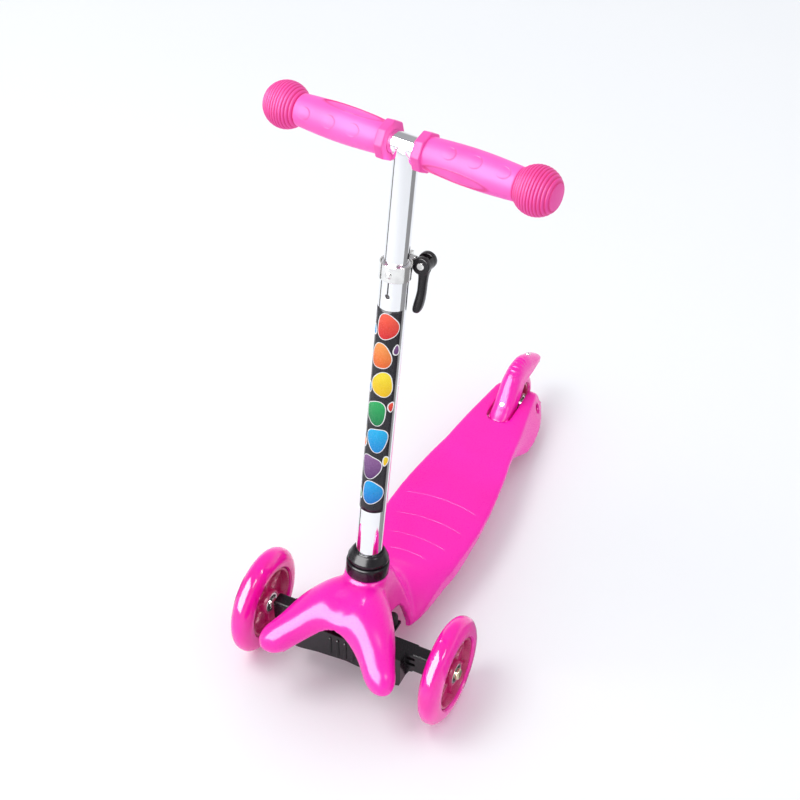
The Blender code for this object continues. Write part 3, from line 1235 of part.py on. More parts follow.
def fender_frames():
    """Each row of the back line with the direction down into the shell."""
    stations = []
    for i, row in enumerate(FENDER_ROWS):
        before = FENDER_ROWS[max(i - 1, 0)]
        after = FENDER_ROWS[min(i + 1, len(FENDER_ROWS) - 1)]
        along_y, along_z = after[0] - before[0], after[1] - before[1]
        length = math.hypot(along_y, along_z)
        stations.append((*row, along_z / length, -along_y / length))
    return stations


def fender_ring(station):
    """Half of one section, from the crown to the side's foot, then its mirror."""
    y, z, deep, narrow, crown_share, down_y, down_z = station
    foot = SLOT_HALF_WIDTH - FENDER_SIDE_GAP - narrow
    crown_deep = deep * crown_share
    wide = foot - FENDER_LEAN * (deep - crown_deep)
    crown = min(FENDER_CROWN, wide - FENDER_FLAT)
    half = [(foot, deep)]
    for degrees in range(0, 91, FENDER_STEP):
        a = math.radians(degrees)
        half.append((wide - crown * (1 - math.cos(a)), crown_deep * (1 - math.sin(a))))
    line = half + [(-x, d) for x, d in half[::-1]]
    return [(x, y + d * down_y, z + d * down_z) for x, d in line]


def fender_shell():
    rings = [fender_ring(station) for station in fender_frames()]
    count = len(rings[0])
    points = [point for ring in rings for point in ring]
    faces = []
    for i in range(len(rings) - 1):
        for j in range(count - 1):
            corner = i * count + j
            faces.append((corner, corner + count, corner + count + 1, corner + 1))
    mesh = bpy.data.meshes.new("brake_fender")
    mesh.from_pydata(points, [], faces)
    fender = bpy.data.objects.new("brake_fender", mesh)
    shell = fender.modifiers.new("wall", "SOLIDIFY")
    shell.thickness = FENDER_WALL
    shell.offset = -1.0
    shell.use_even_offset = True
    shell.thickness_clamp = 1.0
    return fender


def brake():
    """The sprung foot brake: its shell, the plate that rubs on the tyre, and its hinge."""
    to_axle = (0, WHEELBASE - HINGE_Y, REAR_WHEEL_RADIUS - HINGE_Z)
    fender = place(fender_shell(), BRAKE, to_axle, (0, 0, 0), PINK)
    outer = SLOT_HALF_WIDTH - FENDER_SIDE_GAP - FENDER_WALL / 2
    for name, sign in (("left", -1), ("right", 1)):
        barrel = rod(f"hinge_barrel_{name}", HINGE_BARREL_RADIUS, outer - HINGE_BARREL_LENGTH, outer)
        join(fender, place(barrel, BRAKE, (0, 0, 0), (0, sign * math.pi / 2, 0)))
    reach = SLOT_HALF_WIDTH + CHEEK_WALL
    hole = rod("fender_hinge_hole", HINGE_PIN_RADIUS + TOUCH_GAP, -reach, reach)
    cut(fender, place(hole, BRAKE, (0, 0, 0), ALONG_X))
    hinge = pin("brake_hinge_pin", HINGE_PIN_RADIUS, -reach, reach, TOUCH_GAP)
    place(hinge, BRAKE, (0, 0, 0), ALONG_X, STEEL)
    brake_plate(fender, to_axle)
    coil_half = outer - HINGE_BARREL_LENGTH - TOUCH_GAP
    wind = HINGE_PIN_RADIUS + TOUCH_GAP + SPRING_WIRE
    coil("brake_spring", BRAKE, wind, -coil_half, coil_half, BRAKE_SPRING_TURNS, ALONG_X)


def brake_plate(fender, to_axle):
    """A steel strip under the shell between two screws, bent to the shell's back line."""
    stations = fender_frames()[SCREW_ROWS[0] - 1:SCREW_ROWS[1] + 2]
    near = BRAKE_PLATE_DROP
    far = near + BRAKE_PLATE_THICKNESS
    x = BRAKE_PLATE_HALF_WIDTH
    rings = []
    for y, z, *rest, down_y, down_z in stations:
        corners = ((-x, near), (x, near), (x, far), (-x, far))
        rings.append([(side, y + d * down_y, z + d * down_z) for side, d in corners])
    plate = place(loft("brake_plate", rings), BRAKE, to_axle, (0, 0, 0), STEEL)
    top, seat, end = BRAKE_SCREW_TOP, BRAKE_SCREW_SEAT, -BRAKE_SCREW_LENGTH
    shoulder = (BRAKE_SCREW_HEAD * 0.6, top * 0.85)
    head = [(0, top), shoulder, (BRAKE_SCREW_HEAD, (top + seat) / 2), (BRAKE_SCREW_HEAD, seat)]
    stem = [(BRAKE_SCREW_RADIUS, seat), (BRAKE_SCREW_RADIUS, end), (0, end)]
    head_room = BRAKE_SCREW_HEAD + TOUCH_GAP
    stem_room = BRAKE_SCREW_RADIUS + TOUCH_GAP
    floor = seat - TOUCH_GAP
    room = [(0, BEYOND), (head_room, BEYOND), (head_room, floor), (stem_room, floor), (stem_room, -BEYOND)]
    for name, index in zip(("front", "rear"), SCREW_ROWS):
        y, z, *rest, down_y, down_z = fender_frames()[index]
        lean = math.atan2(-down_y, -down_z)
        at = (0, to_axle[1] + y, to_axle[2] + z)
        tilt = (-lean, 0, 0)
        hole = turned(f"screw_room_{name}", room + [(0, -BEYOND)], SMALL_ROUND)
        place(hole, BRAKE, at, tilt)
        cut(fender, hole)
        cut(plate, hole)
        place(turned(f"brake_screw_{name}", head + stem, SMALL_ROUND), BRAKE, at, tilt, STEEL)


deck_body()
column()
tube_clamp()
handlebar()
carrier()
front_wheels()
rear_wheel()
brake()
shade_parts()
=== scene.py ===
import json
import math

import bmesh
import bpy
import numpy as np
from mathutils import Matrix, Vector
from mathutils.bvhtree import BVHTree
from mathutils.kdtree import KDTree

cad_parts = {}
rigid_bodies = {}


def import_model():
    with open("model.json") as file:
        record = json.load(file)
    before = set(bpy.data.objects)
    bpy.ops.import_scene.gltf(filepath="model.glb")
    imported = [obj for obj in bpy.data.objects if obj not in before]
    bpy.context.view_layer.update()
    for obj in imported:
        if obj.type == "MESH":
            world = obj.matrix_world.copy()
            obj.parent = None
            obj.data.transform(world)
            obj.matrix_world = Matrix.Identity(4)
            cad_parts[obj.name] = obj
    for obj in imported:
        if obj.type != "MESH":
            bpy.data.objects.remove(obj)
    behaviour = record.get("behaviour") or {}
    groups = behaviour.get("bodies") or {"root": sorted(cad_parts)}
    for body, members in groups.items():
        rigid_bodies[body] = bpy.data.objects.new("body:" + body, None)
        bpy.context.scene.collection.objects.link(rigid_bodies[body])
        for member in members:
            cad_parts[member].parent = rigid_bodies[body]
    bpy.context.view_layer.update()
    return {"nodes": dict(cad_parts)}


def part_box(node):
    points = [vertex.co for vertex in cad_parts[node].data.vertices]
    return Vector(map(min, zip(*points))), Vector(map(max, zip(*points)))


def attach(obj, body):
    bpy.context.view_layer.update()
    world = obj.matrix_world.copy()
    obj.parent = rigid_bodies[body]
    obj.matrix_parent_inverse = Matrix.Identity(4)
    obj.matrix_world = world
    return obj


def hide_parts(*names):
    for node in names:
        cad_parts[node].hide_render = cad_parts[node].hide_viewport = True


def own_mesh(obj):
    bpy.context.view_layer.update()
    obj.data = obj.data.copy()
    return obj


# Looks of the three-wheel kick scooter. A piece is drawn in millimetres in its own axes, and
# placed() brings it into the frame, in metres: it rides towards -Y and the ground is z = 0.
# Angles are in degrees. The camera, the lamps and the floor are in metres.

for obj in list(bpy.data.objects):
    bpy.data.objects.remove(obj, do_unlink=True)
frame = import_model()


print("frame loaded")

middleY = 219.85  # the front axle lies this far in front of the frame's origin
weldWithin = 2e-7  # points this near become one (metres), wherever seams and poles are closed
quarter, full = math.pi / 2, 2 * math.pi


def surface(x, y, z):
    # a grid of points from three arrays, each stretched to the shape of all
    return np.stack(np.broadcast_arrays(x, y, z), axis=-1)


def placed(points, matrix):
    return points / 1000 @ np.array(matrix.to_3x3()).T + np.array(matrix.translation)


def shift(x, y, z):
    return Matrix.Translation([v / 1000 for v in (x, y, z)])


def rotation(degrees, axis):
    return Matrix.Rotation(math.radians(degrees), 4, axis)


def circle(count):
    return np.linspace(0, full, count, endpoint=False)


def fromNearest(angle, sides):
    # how far an angle is from the nearest of so many evenly spaced directions
    half = math.pi / sides
    return np.abs((angle + half) % (2 * half) - half)


def columns(rows):
    return (rows[:, k:k + 1] for k in range(rows.shape[1]))


def mirrored(profile):
    return profile + [(r, -z) for r, z in profile[::-1]]


def softStep(value, low, high):
    t = np.clip((value - low) / (high - low), 0, 1)
    return t * t * (3 - 2 * t)


def squared(angle, power):
    # a circle's cosine and sine, each raised to the power and given back its sign
    c, s = np.cos(angle), np.sin(angle)
    return np.sign(c) * np.abs(c)**power, np.sign(s) * np.abs(s)**power


def smoothed(values, pieces):
    # a curve through every row: on each stretch, a cubic whose slope at a row is half the
    # step between that row's neighbours
    values = np.asarray(values, float)
    before, after = np.vstack([values[:1], values[:-2]]), np.vstack([values[2:], values[-1:]])
    t = (np.arange(pieces) / pieces)[None, :, None]
    a, b, c, d = (v[:, None, :] for v in (before, values[:-1], values[1:], after))
    made = ((-t + 2 * t**2 - t**3) * a + (2 - 5 * t**2 + 3 * t**3) * b
            + (t + 4 * t**2 - 3 * t**3) * c + (t**3 - t**2) * d) / 2
    return np.vstack([made.reshape(-1, values.shape[1]), values[-1:]])


def addObject(name, data):
    made = bpy.data.objects.new(name, data)
    bpy.context.scene.collection.objects.link(made)
    return made


def meshObject(name, shaped, mesh=None):
    mesh = mesh or bpy.data.meshes.new(name)
    shaped.to_mesh(mesh)
    shaped.free()
    return addObject(name, mesh)


def gridPiece(name, points, closeRows=False, closeColumns=True, capEnds=False):
    # points[i, j] is a surface as a function of two parameters: neighbours become quads, seams
    # and poles are welded, what has no area is dropped, and every face is turned outwards
    m, n = points.shape[:2]
    rows = np.arange(m if closeRows else m - 1)
    across = np.arange(n if closeColumns else n - 1)
    i, j = np.meshgrid(rows, across, indexing="ij")
    nextI, nextJ = (i + 1) % m, (j + 1) % n
    quads = np.stack([i * n + j, nextI * n + j, nextI * n + nextJ, i * n + nextJ], axis=-1)
    faces = quads.reshape(-1, 4).tolist()
    if capEnds:
        faces += [list(range(n)), [(m - 1) * n + k for k in range(n - 1, -1, -1)]]
    mesh = bpy.data.meshes.new(name)
    mesh.from_pydata(points.reshape(-1, 3).tolist(), [], faces)
    shaped = bmesh.new()
    shaped.from_mesh(mesh)
    bmesh.ops.remove_doubles(shaped, verts=shaped.verts, dist=weldWithin)
    bmesh.ops.dissolve_degenerate(shaped, edges=shaped.edges, dist=weldWithin)
    bmesh.ops.recalc_face_normals(shaped, faces=shaped.faces)
    return meshObject(name, shaped, mesh)


def joined(name, pieces):
    # several finished shapes become one mesh
    shaped = bmesh.new()
    for piece in pieces:
        shaped.from_mesh(piece.data)
        bpy.data.objects.remove(piece)
    return meshObject(name, shaped)


def turnedGrid(profile, around, lift=0):
    # a profile of (radius, height) carried round the Z axis: x = r cos a, y = r sin a; lift
    # raises each point
    profile = np.asarray(profile, float)
    angle, radius = circle(around), profile[:, :1]
    return surface(radius * np.cos(angle), radius * np.sin(angle), profile[:, 1:2] + lift)


def turnedPiece(name, profile, around, matrix, lift=0, ring=True):
    # a ring closes its profile; anything else ends on the axis
    return gridPiece(name, placed(turnedGrid(profile, around, lift), matrix), closeRows=ring)


def thickened(obj, depth, **settings):
    # the skin grows inwards by the depth of its wall
    wall = obj.modifiers.new("wall", "SOLIDIFY")
    wall.thickness, wall.offset = depth / 1000, -1
    for key, value in settings.items():
        setattr(wall, key, value)


def paint(obj, tones):
    # every vertex takes the tone of the grid point it came from
    points, shades = (np.vstack([part.reshape(-1, 3) for part in parts]) for parts in zip(*tones))
    tree = KDTree(len(points))
    for index, point in enumerate(points.tolist()):
        tree.insert(point, index)
    tree.balance()
    nearest = [tree.find(vertex.co)[1] for vertex in obj.data.vertices]
    colour = np.hstack([shades[nearest], np.ones((len(nearest), 1))])
    layer = obj.data.color_attributes.new("ink", "FLOAT_COLOR", "POINT")
    layer.data.foreach_set("color", colour.astype(np.float32).ravel())


def camel(name):
    # front_left_tyre becomes frontLeftTyre
    first, *rest = name.split("_")
    return first + "".join(word.title() for word in rest)


def finish(obj, look, body, nodes=(), sharp=38):
    # smooth faces with sharp edges, a material, and what the frame has to know
    obj.data.materials.append(materials[look])
    obj.data.polygons.foreach_set("use_smooth", np.ones(len(obj.data.polygons), bool))
    obj.data.set_sharp_from_angle(angle=math.radians(sharp))
    if nodes:
        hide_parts(*nodes)
    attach(obj, body)


# where the moving parts sit: the column, the bar on it (turned a little) and the axles
column = dict(lean=10.55, seat=(0, 33.3 - middleY, 129.2), turn=-8, barHeight=483.7)
columnFrame = shift(*column["seat"]) @ rotation(-column["lean"], "X")
barFrame = columnFrame @ rotation(column["turn"], "Z") @ shift(0, 0, column["barHeight"])
frontAxleAt, rearAxleAt = (-middleY, 60), (444 - middleY, 40)  # (y, z) of each
alongX = rotation(90, "Y")  # turns a piece's own Z to +X

view = dict(place=(0.519, -1.184, 1.373), aim=(0, -0.10935, 0.3084), roll=0.4, lens=70.75, sensor=36, far=30)


def aimed(place):
    # at a place, looking at the view's aim
    turn = (Vector(view["aim"]) - Vector(place)).to_track_quat("-Z", "Y")
    return Matrix.Translation(place) @ turn.to_matrix().to_4x4()


def makeCamera():
    data = bpy.data.cameras.new("camera")
    data.lens, data.sensor_width, data.clip_end = view["lens"], view["sensor"], view["far"]
    camera = addObject("camera", data)
    camera.matrix_world = aimed(view["place"]) @ rotation(view["roll"], "Z")
    bpy.context.scene.camera = camera


makeCamera()
bpy.context.scene.view_settings.view_transform = "Standard"
print("camera set")


def addNode(tree, kind, values=(), **settings):
    # a shader node with these settings and input values
    node = tree.nodes.new("ShaderNode" + kind)
    for key, value in settings.items():
        setattr(node, key, value)
    for key, value in dict(values).items():
        node.inputs[key].default_value = value
    return node


def addRamp(tree, stops):
    ramp = addNode(tree, "ValToRGB")
    for element, (position, tone) in zip(ramp.color_ramp.elements, stops):
        element.position, element.color = position, (*tone, 1)
    return ramp


def wire(source, output, target, entry):
    source.id_data.links.new(source.outputs[output], target.inputs[entry])


def makeGrain():
    # one group for every finish: broad cloud, fine grain and their height, from Object
    # coordinates whose Z is stretched
    group = bpy.data.node_groups.new("grain", "ShaderNodeTree")
    for way, names in (("INPUT", ("Cloud Scale", "Grain Scale", "Stretch")),
                       ("OUTPUT", ("Cloud", "Grain", "Height"))):
        for name in names:
            group.interface.new_socket(name, in_out=way, socket_type="NodeSocketFloat")
    start, end = group.nodes.new("NodeGroupInput"), group.nodes.new("NodeGroupOutput")
    where = addNode(group, "TexCoord")
    squeeze = addNode(group, "CombineXYZ", {"X": 1, "Y": 1})
    shape = addNode(group, "VectorMath", operation="MULTIPLY")
    both = addNode(group, "Math", {1: 0.25}, operation="MULTIPLY_ADD")  # a quarter of the cloud
    wire(start, "Stretch", squeeze, "Z")
    wire(where, "Object", shape, 0)
    wire(squeeze, "Vector", shape, 1)
    for name, detail, entry in (("Cloud", 3, 0), ("Grain", 2, 2)):
        noise = addNode(group, "TexNoise", {"Detail": detail})
        wire(shape, "Vector", noise, "Vector")
        wire(start, name + " Scale", noise, "Scale")
        wire(noise, "Fac", end, name)
        wire(noise, "Fac", both, entry)
    wire(both, "Value", end, "Height")
    return group


grainGroup = makeGrain()
spread = dict(tones=(0.3, 0.72), gloss=(0.35, 0.65), relief=0.0002)  # how the noise is read


def surfaceMaterial(name, tones, rough, cloud, grain, bump, stretch=1, attribute=None, shader=()):
    # the base colour drifts between two tones with the cloud, the roughness with the grain,
    # the height of both lifts the normal, and a colour attribute may multiply the base
    made = bpy.data.materials.new(name)
    made.use_nodes = True
    tree = made.node_tree
    main = tree.nodes["Principled BSDF"]
    scales = {"Cloud Scale": cloud, "Grain Scale": grain, "Stretch": stretch}
    noise = addNode(tree, "Group", scales, node_tree=grainGroup)
    base = addRamp(tree, zip(spread["tones"], tones))
    limits = zip(("From Min", "From Max", "To Min", "To Max"), spread["gloss"] + rough)
    gloss = addNode(tree, "MapRange", limits)
    relief = addNode(tree, "Bump", {"Strength": bump, "Distance": spread["relief"]})
    wire(noise, "Cloud", base, "Fac")
    wire(noise, "Grain", gloss, "Value")
    wire(gloss, "Result", main, "Roughness")
    wire(noise, "Height", relief, "Height")
    wire(relief, "Normal", main, "Normal")
    for key, value in dict(shader).items():
        main.inputs[key].default_value = value
    output = "Color"
    if attribute:
        tint = addNode(tree, "Attribute", attribute_name=attribute)
        mix = addNode(tree, "Mix", {"Factor": 1}, data_type="RGBA", blend_type="MULTIPLY")
        first, second, result = 6, 7, 2  # a mix node's sockets for colours
        wire(base, output, mix, first)
        wire(tint, output, mix, second)
        base, output = mix, result
    wire(base, output, main, "Base Color")
    return made


looks = dict(
    glossy_pink_plastic=dict(
        tones=((0.95, 0.005, 0.42), (1, 0.012, 0.5)), rough=(0.26, 0.34), cloud=9, grain=900, bump=0.004,
        shader={"Coat Weight": 0.55, "Coat Roughness": 0.17, "Specular IOR Level": 0.2}),
    # the grips' ink attribute multiplies in the flange's deeper tone and painted shade on the ball, grooves,
    # dimples and panel edge
    soft_pink_rubber=dict(
        tones=((0.95, 0.095, 0.5), (1, 0.132, 0.6)), rough=(0.42, 0.58), cloud=22, grain=1500, bump=0.12,
        shader={"Sheen Weight": 0.1, "Sheen Roughness": 0.4, "Specular IOR Level": 0.3}, attribute="ink"),
    clear_pink_tyre=dict(
        tones=((0.95, 0.004, 0.36), (1, 0.01, 0.48)), rough=(0.07, 0.13), cloud=26, grain=300, bump=0.008,
        shader={"Coat Weight": 0.45, "Coat Roughness": 0.05, "Subsurface Weight": 0.2,
                "Subsurface Scale": 0.006, "Subsurface Radius": (1, 0.2, 0.5)}),
    pink_hub_plastic=dict(
        tones=((0.46, 0.004, 0.11), (0.62, 0.007, 0.17)), rough=(0.26, 0.38), cloud=40, grain=700,
        bump=0.08, shader={"Coat Weight": 0.3, "Coat Roughness": 0.1}),
    black_plastic=dict(
        tones=((0.005, 0.004, 0.006), (0.01, 0.008, 0.011)), rough=(0.18, 0.3), cloud=35, grain=1700,
        bump=0.08, shader={"Specular IOR Level": 0.35}),
    dark_rubber=dict(
        tones=((0.016, 0.013, 0.016), (0.03, 0.026, 0.03)), rough=(0.6, 0.8), cloud=60, grain=1400, bump=0.3),
    polished_tube=dict(
        tones=((0.84, 0.84, 0.86), (0.93, 0.93, 0.95)), rough=(0.035, 0.09), cloud=14, grain=500,
        stretch=0.06, bump=0.02, shader={"Metallic": 1}),
    zinc_steel=dict(
        tones=((0.74, 0.73, 0.72), (0.9, 0.89, 0.87)), rough=(0.08, 0.2), cloud=120, grain=1600, bump=0.05,
        shader={"Metallic": 1}),
    gold_zinc_steel=dict(
        tones=((0.62, 0.52, 0.34), (0.84, 0.77, 0.58)), rough=(0.14, 0.3), cloud=150, grain=1500, bump=0.1,
        shader={"Metallic": 1}))
materials = {slot: surfaceMaterial(slot + "_look", **look) for slot, look in looks.items()}
for node in frame["nodes"].values():
    place = node.material_slots[0]
    place.material = materials[place.material.name]
print("materials made:", len(materials))

tube = dict(radius=14.1, wall=1.8, foot=-33.7, top=367, slitLength=31.5, slitWidth=1.6, holeRadius=2.7,
            holeMargin=1.3, lipIn=0.4, lipLength=0.5, around=128, rows=(8, 25, 7))


def columnTube():
    # outer skin as a function of angle and height: the angle runs from one lip of the slit
    # round to the other, and the gap between them follows the slit and the round hole at its
    # foot, and closes below; the wall is the skin thickened inwards
    v = tube
    r, top = v["holeRadius"], v["top"]
    holeZ, margin = top - v["slitLength"], v["holeMargin"] * r
    below, beside, above = v["rows"]
    heights = np.hstack([
        np.linspace(v["foot"], holeZ - margin, below),
        holeZ + r * np.sin(np.linspace(-quarter, quarter, beside)),
        np.linspace(holeZ + margin, top, above)])[:, None]
    slit = np.where(heights > holeZ, v["slitWidth"] / 2, 0)
    hole = np.sqrt(np.clip(r**2 - (heights - holeZ)**2, 0, None))
    gap = np.maximum(slit, hole) / v["radius"]
    angle = -quarter + gap + (full - 2 * gap) * np.linspace(0, 1, v["around"] + 1)
    radius = v["radius"] - v["lipIn"] * softStep(heights, top - v["lipLength"], top)
    grid = surface(radius * np.cos(angle), radius * np.sin(angle), heights)
    made = gridPiece("columnTube", placed(grid, columnFrame), closeColumns=False)
    thickened(made, v["wall"])
    finish(made, "polished_tube", "deck", ["column_tube"])


columnTube()

slitShadeSizes = dict(inner=12.08, outer=12.26, foot=300, top=366.2)


def slitShadeSleeve():
    # a thin dark sleeve in the tube's mouth, turned about the column, like the bushing such a tube has; it is
    # made dark so that the slit shows painted shade
    inner, outer, foot, top = slitShadeSizes.values()
    profile = [(outer, foot), (outer, top), (inner, top), (inner, foot)]
    finish(turnedPiece("slitShadeSleeve", profile, 96, columnFrame), "dark_rubber", "deck")


slitShadeSleeve()

bar = dict(radius=11, wall=1.5, half=150, upright=12, foot=180.3, bead=0.8, bevel=0.3, around=112,
           beadAround=144)


def handlebarTube():
    # upright: a profile turned about the column; cross bar: the same about the bar's axis;
    # weld: a round bead whose middle line is where the two cylinders meet
    r, wall, half, up, foot, bead, e, around, beadAround = bar.values()
    foot -= column["barHeight"]
    profile = [(up - wall, -20), (up - wall, foot), (up - e, foot), (up, foot + e), (up, -6), (up, 0),
               (up - 0.6, 1.2), (up - 2.5, 2)]
    upright = turnedPiece("upright", profile, around, barFrame, ring=False)
    inner = r - wall
    nearEnd = [(inner, -half + e), (inner + e, -half), (r - 0.4, -half), (r, -half + 0.4)]
    cross = turnedPiece("cross", mirrored(nearEnd), around, barFrame @ alongX)
    angle, turn = circle(beadAround)[:, None], circle(14)
    reach = up + 0.2 * bead
    drop = -np.sqrt(r**2 - np.minimum(np.abs(reach * np.sin(angle)), r * 0.995)**2)
    radial = reach + bead * np.cos(turn)
    grid = surface(radial * np.cos(angle), radial * np.sin(angle), drop + bead * np.sin(turn))
    weld = gridPiece("weld", placed(grid, barFrame), closeRows=True)
    finish(joined("handlebarTube", [upright, cross, weld]), "polished_tube", "handlebar", ["t_bar"])


handlebarTube()
print("tubes made")

grip = dict(
    start=15, flange=9.5, flangeRadius=19.7, flangeEdge=1.4, flat=0.988, endRadius=15.6, middleRadius=17.6,
    ballCentre=135, ballRadius=23.06, capRadius=13.8, ribs=12, ribDepth=1.1, ribPower=0.8,
    boreRadius=11.3, boreDepth=4, around=288, edgeRows=5, barrelRows=130, ballRows=(90, 110),
    dimples=(50, 76.5, 105), dimpleHalf=(7.2, 5.8), dimpleDepth=1.2,
    panel=60, panelHalf=(33, 6.8), panelDepth=0.8, panelRim=0.3,
    # how far the colour goes to the deep tone: the flange's own deeper tone, and painted shade on
    # the ball, in its grooves, at the dimples' edges and on their floors, and along the panel's edge
    deepToneAndShade=(0.74, 0.06, 0.3), tint=(0.25, 0.38, 0.62, 0.5, 0.08, 0.7))


def makeGrip(side, sign, dimpleAngle, panelAngle, edgeSign):
    # radius as a function of distance along the bar and angle round it: an eight-sided flange,
    # a barrel swollen as a half sine, a ball whose ribs are a power of the absolute sine of the
    # distance, less three shallow dimples and one oval panel
    g = grip
    start, centre, ballR, endR, cap, edge = (g[key] for key in (
        "start", "ballCentre", "ballRadius", "endRadius", "capRadius", "flangeEdge"))
    flangeTint, ballShade, grooveShade, dimpleEdgeShade, dimpleFloorShade, panelEdgeShade = g["tint"]
    joinAt, capAt = centre - math.sqrt(ballR**2 - endR**2), centre + math.sqrt(ballR**2 - cap**2)
    flangeEnd, bend = start + g["flange"], np.linspace(0, quarter, g["edgeRows"])
    flange = [start + edge * (1 - np.cos(bend)), flangeEnd - edge * (1 - np.cos(bend[::-1]))]
    flangeRadius = g["flangeRadius"] - edge * (1 - np.sin(np.hstack([bend, bend[::-1]])))
    barrel = np.linspace(flangeEnd + 0.2, joinAt - 1.2, g["barrelRows"])
    share = (barrel - flangeEnd) / (joinAt - flangeEnd)
    barrelRadius = endR + (g["middleRadius"] - endR) * np.sin(math.pi * share)
    nearRows, farRows = g["ballRows"]
    ball = np.hstack([centre - (centre - joinAt) * np.cos(np.linspace(0, quarter, nearRows)),
                      np.linspace(centre, capAt, farRows)[1:]])
    groove = 1 - np.abs(np.sin((ball - joinAt) / (capAt - joinAt) * g["ribs"] * math.pi))**g["ribPower"]
    ballRadius = np.sqrt(ballR**2 - (ball - centre)**2) - g["ribDepth"] * groove
    capLine = np.array([(cap - 0.5, 0.2), (cap - 0.9, -0.4), (cap - 1.3, 0.3), (cap * 0.6, 0.7),
                        (cap * 0.3, 0.9), (0, 0.95)])
    along = np.hstack([*flange, barrel, ball, capAt + capLine[:, 1]])
    radius = np.hstack([flangeRadius, barrelRadius, ballRadius, capLine[:, 0]])
    a, b, c = np.cumsum([len(flangeRadius), len(barrel), len(ball)])
    onFlange, onBarrel, onBall, onCap = slice(a), slice(a, b), slice(b, c), slice(c, None)
    angle = circle(g["around"])
    grown = np.repeat(radius[:, None], g["around"], axis=1)
    octagon = math.cos(math.pi / 8) / np.cos(math.pi / 8 - fromNearest(angle, 8))
    grown[onFlange] *= np.minimum(octagon, g["flat"])
    # the colour's depth: the flange's deeper tone, and painted shade on the ball and cap, in the grooves, in
    # and round the dimples and along the panel's edge
    depth = np.zeros_like(grown)
    depth[onFlange] = flangeTint
    depth[onBall] = (ballShade + grooveShade * groove)[:, None]
    depth[onCap] = ballShade

    def oval(middle, turn, half):
        # the distance along the bar, and the one from the middle, as shares of the half sizes
        arc = ((angle - math.radians(turn) + math.pi) % full - math.pi) * endR
        u = (along[onBarrel][:, None] - middle) / half[0]
        return u, np.sqrt(u**2 + (arc / half[1])**2)

    for middle in g["dimples"]:
        u, size = oval(middle, dimpleAngle, g["dimpleHalf"])
        slope, inside = softStep(u * edgeSign, -0.9, 0.9), 1 - softStep(size, 0.93, 1)
        grown[onBarrel] -= g["dimpleDepth"] * inside * slope
        # painted shade at each dimple's edge and on its floor
        depth[onBarrel] += (dimpleEdgeShade * np.exp(-((size - 0.97) / 0.09)**2) + dimpleFloorShade * inside) * slope
    size = oval(g["panel"], panelAngle, g["panelHalf"])[1]
    grown[onBarrel] += g["panelRim"] * np.exp(-((size - 1.03) / 0.05)**2)
    grown[onBarrel] -= g["panelDepth"] * (1 - softStep(size, 0.94, 1))
    # painted shade along the panel's edge
    depth[onBarrel] += panelEdgeShade * np.exp(-((size - 0.97) / 0.1)**2)
    # the angle is counted from the column's upward direction towards the front
    up, front = np.cos(angle), np.sin(angle)
    inward = np.array([[start + g["boreDepth"]], [start]])
    bore = surface(sign * inward, -g["boreRadius"] * front, g["boreRadius"] * up)
    skin = surface(sign * along[:, None], -grown * front, grown * up)
    grid = placed(np.vstack([bore, skin]), barFrame)
    depth = np.vstack([depth[:2], depth])[..., None]
    made = gridPiece("grip" + side, grid)
    # the ink attribute carries the painted shade, and the flange's deeper tone, towards the deep tone
    paint(made, [(grid, 1 - depth * (1 - np.array(g["deepToneAndShade"])))])
    finish(made, "soft_pink_rubber", "handlebar", ["grip_" + side.lower()], sharp=50)


makeGrip("Left", -1, 73, -2, -1)
makeGrip("Right", 1, 44, 118, 1)
print("grips made")

# the tyre's section: how far each point drops from the crown to the bore, and how wide it is
tyreLine = [(0, 0), (0.05, 0.38), (0.2, 0.68), (0.42, 0.9), (0.62, 1)]
wheelSizes = dict(front=dict(radius=60, width=24, bore=40.3, x=111.2, at=frontAxleAt),
                  rear=dict(radius=40, width=20, bore=27.3, x=0, at=rearAxleAt))
hub = dict(rimWall=3.2, web=1.5, barrel=13.5, barrelHalf=10.5, bore=11.3, spokes=6, spokeHalf=1.9,
           spokeDepth=5.2, lip=2, edge=0.5, around=240)


def makeTyre(size, matrix, body, node):
    # a round section through the named points, carried round the axle
    half, depth = size["width"] / 2, size["radius"] - size["bore"]
    upper = np.array([(size["radius"] - depth * drop, half * share) for drop, share in tyreLine])
    outer = smoothed(np.vstack([upper[1:][::-1] * (1, -1), upper]), 8)
    foot, seat, edge = size["bore"] + hub["lip"], size["bore"] + 0.1, 0.7
    corner = [(foot + 0.2, half), (foot - edge * 0.6, half - 0.1), (foot - edge, half - edge)]
    profile = outer.tolist() + mirrored(corner + [(seat, half - hub["lip"])])
    finish(turnedPiece(camel(node), profile, 160, matrix), "clear_pink_tyre", body, [node])


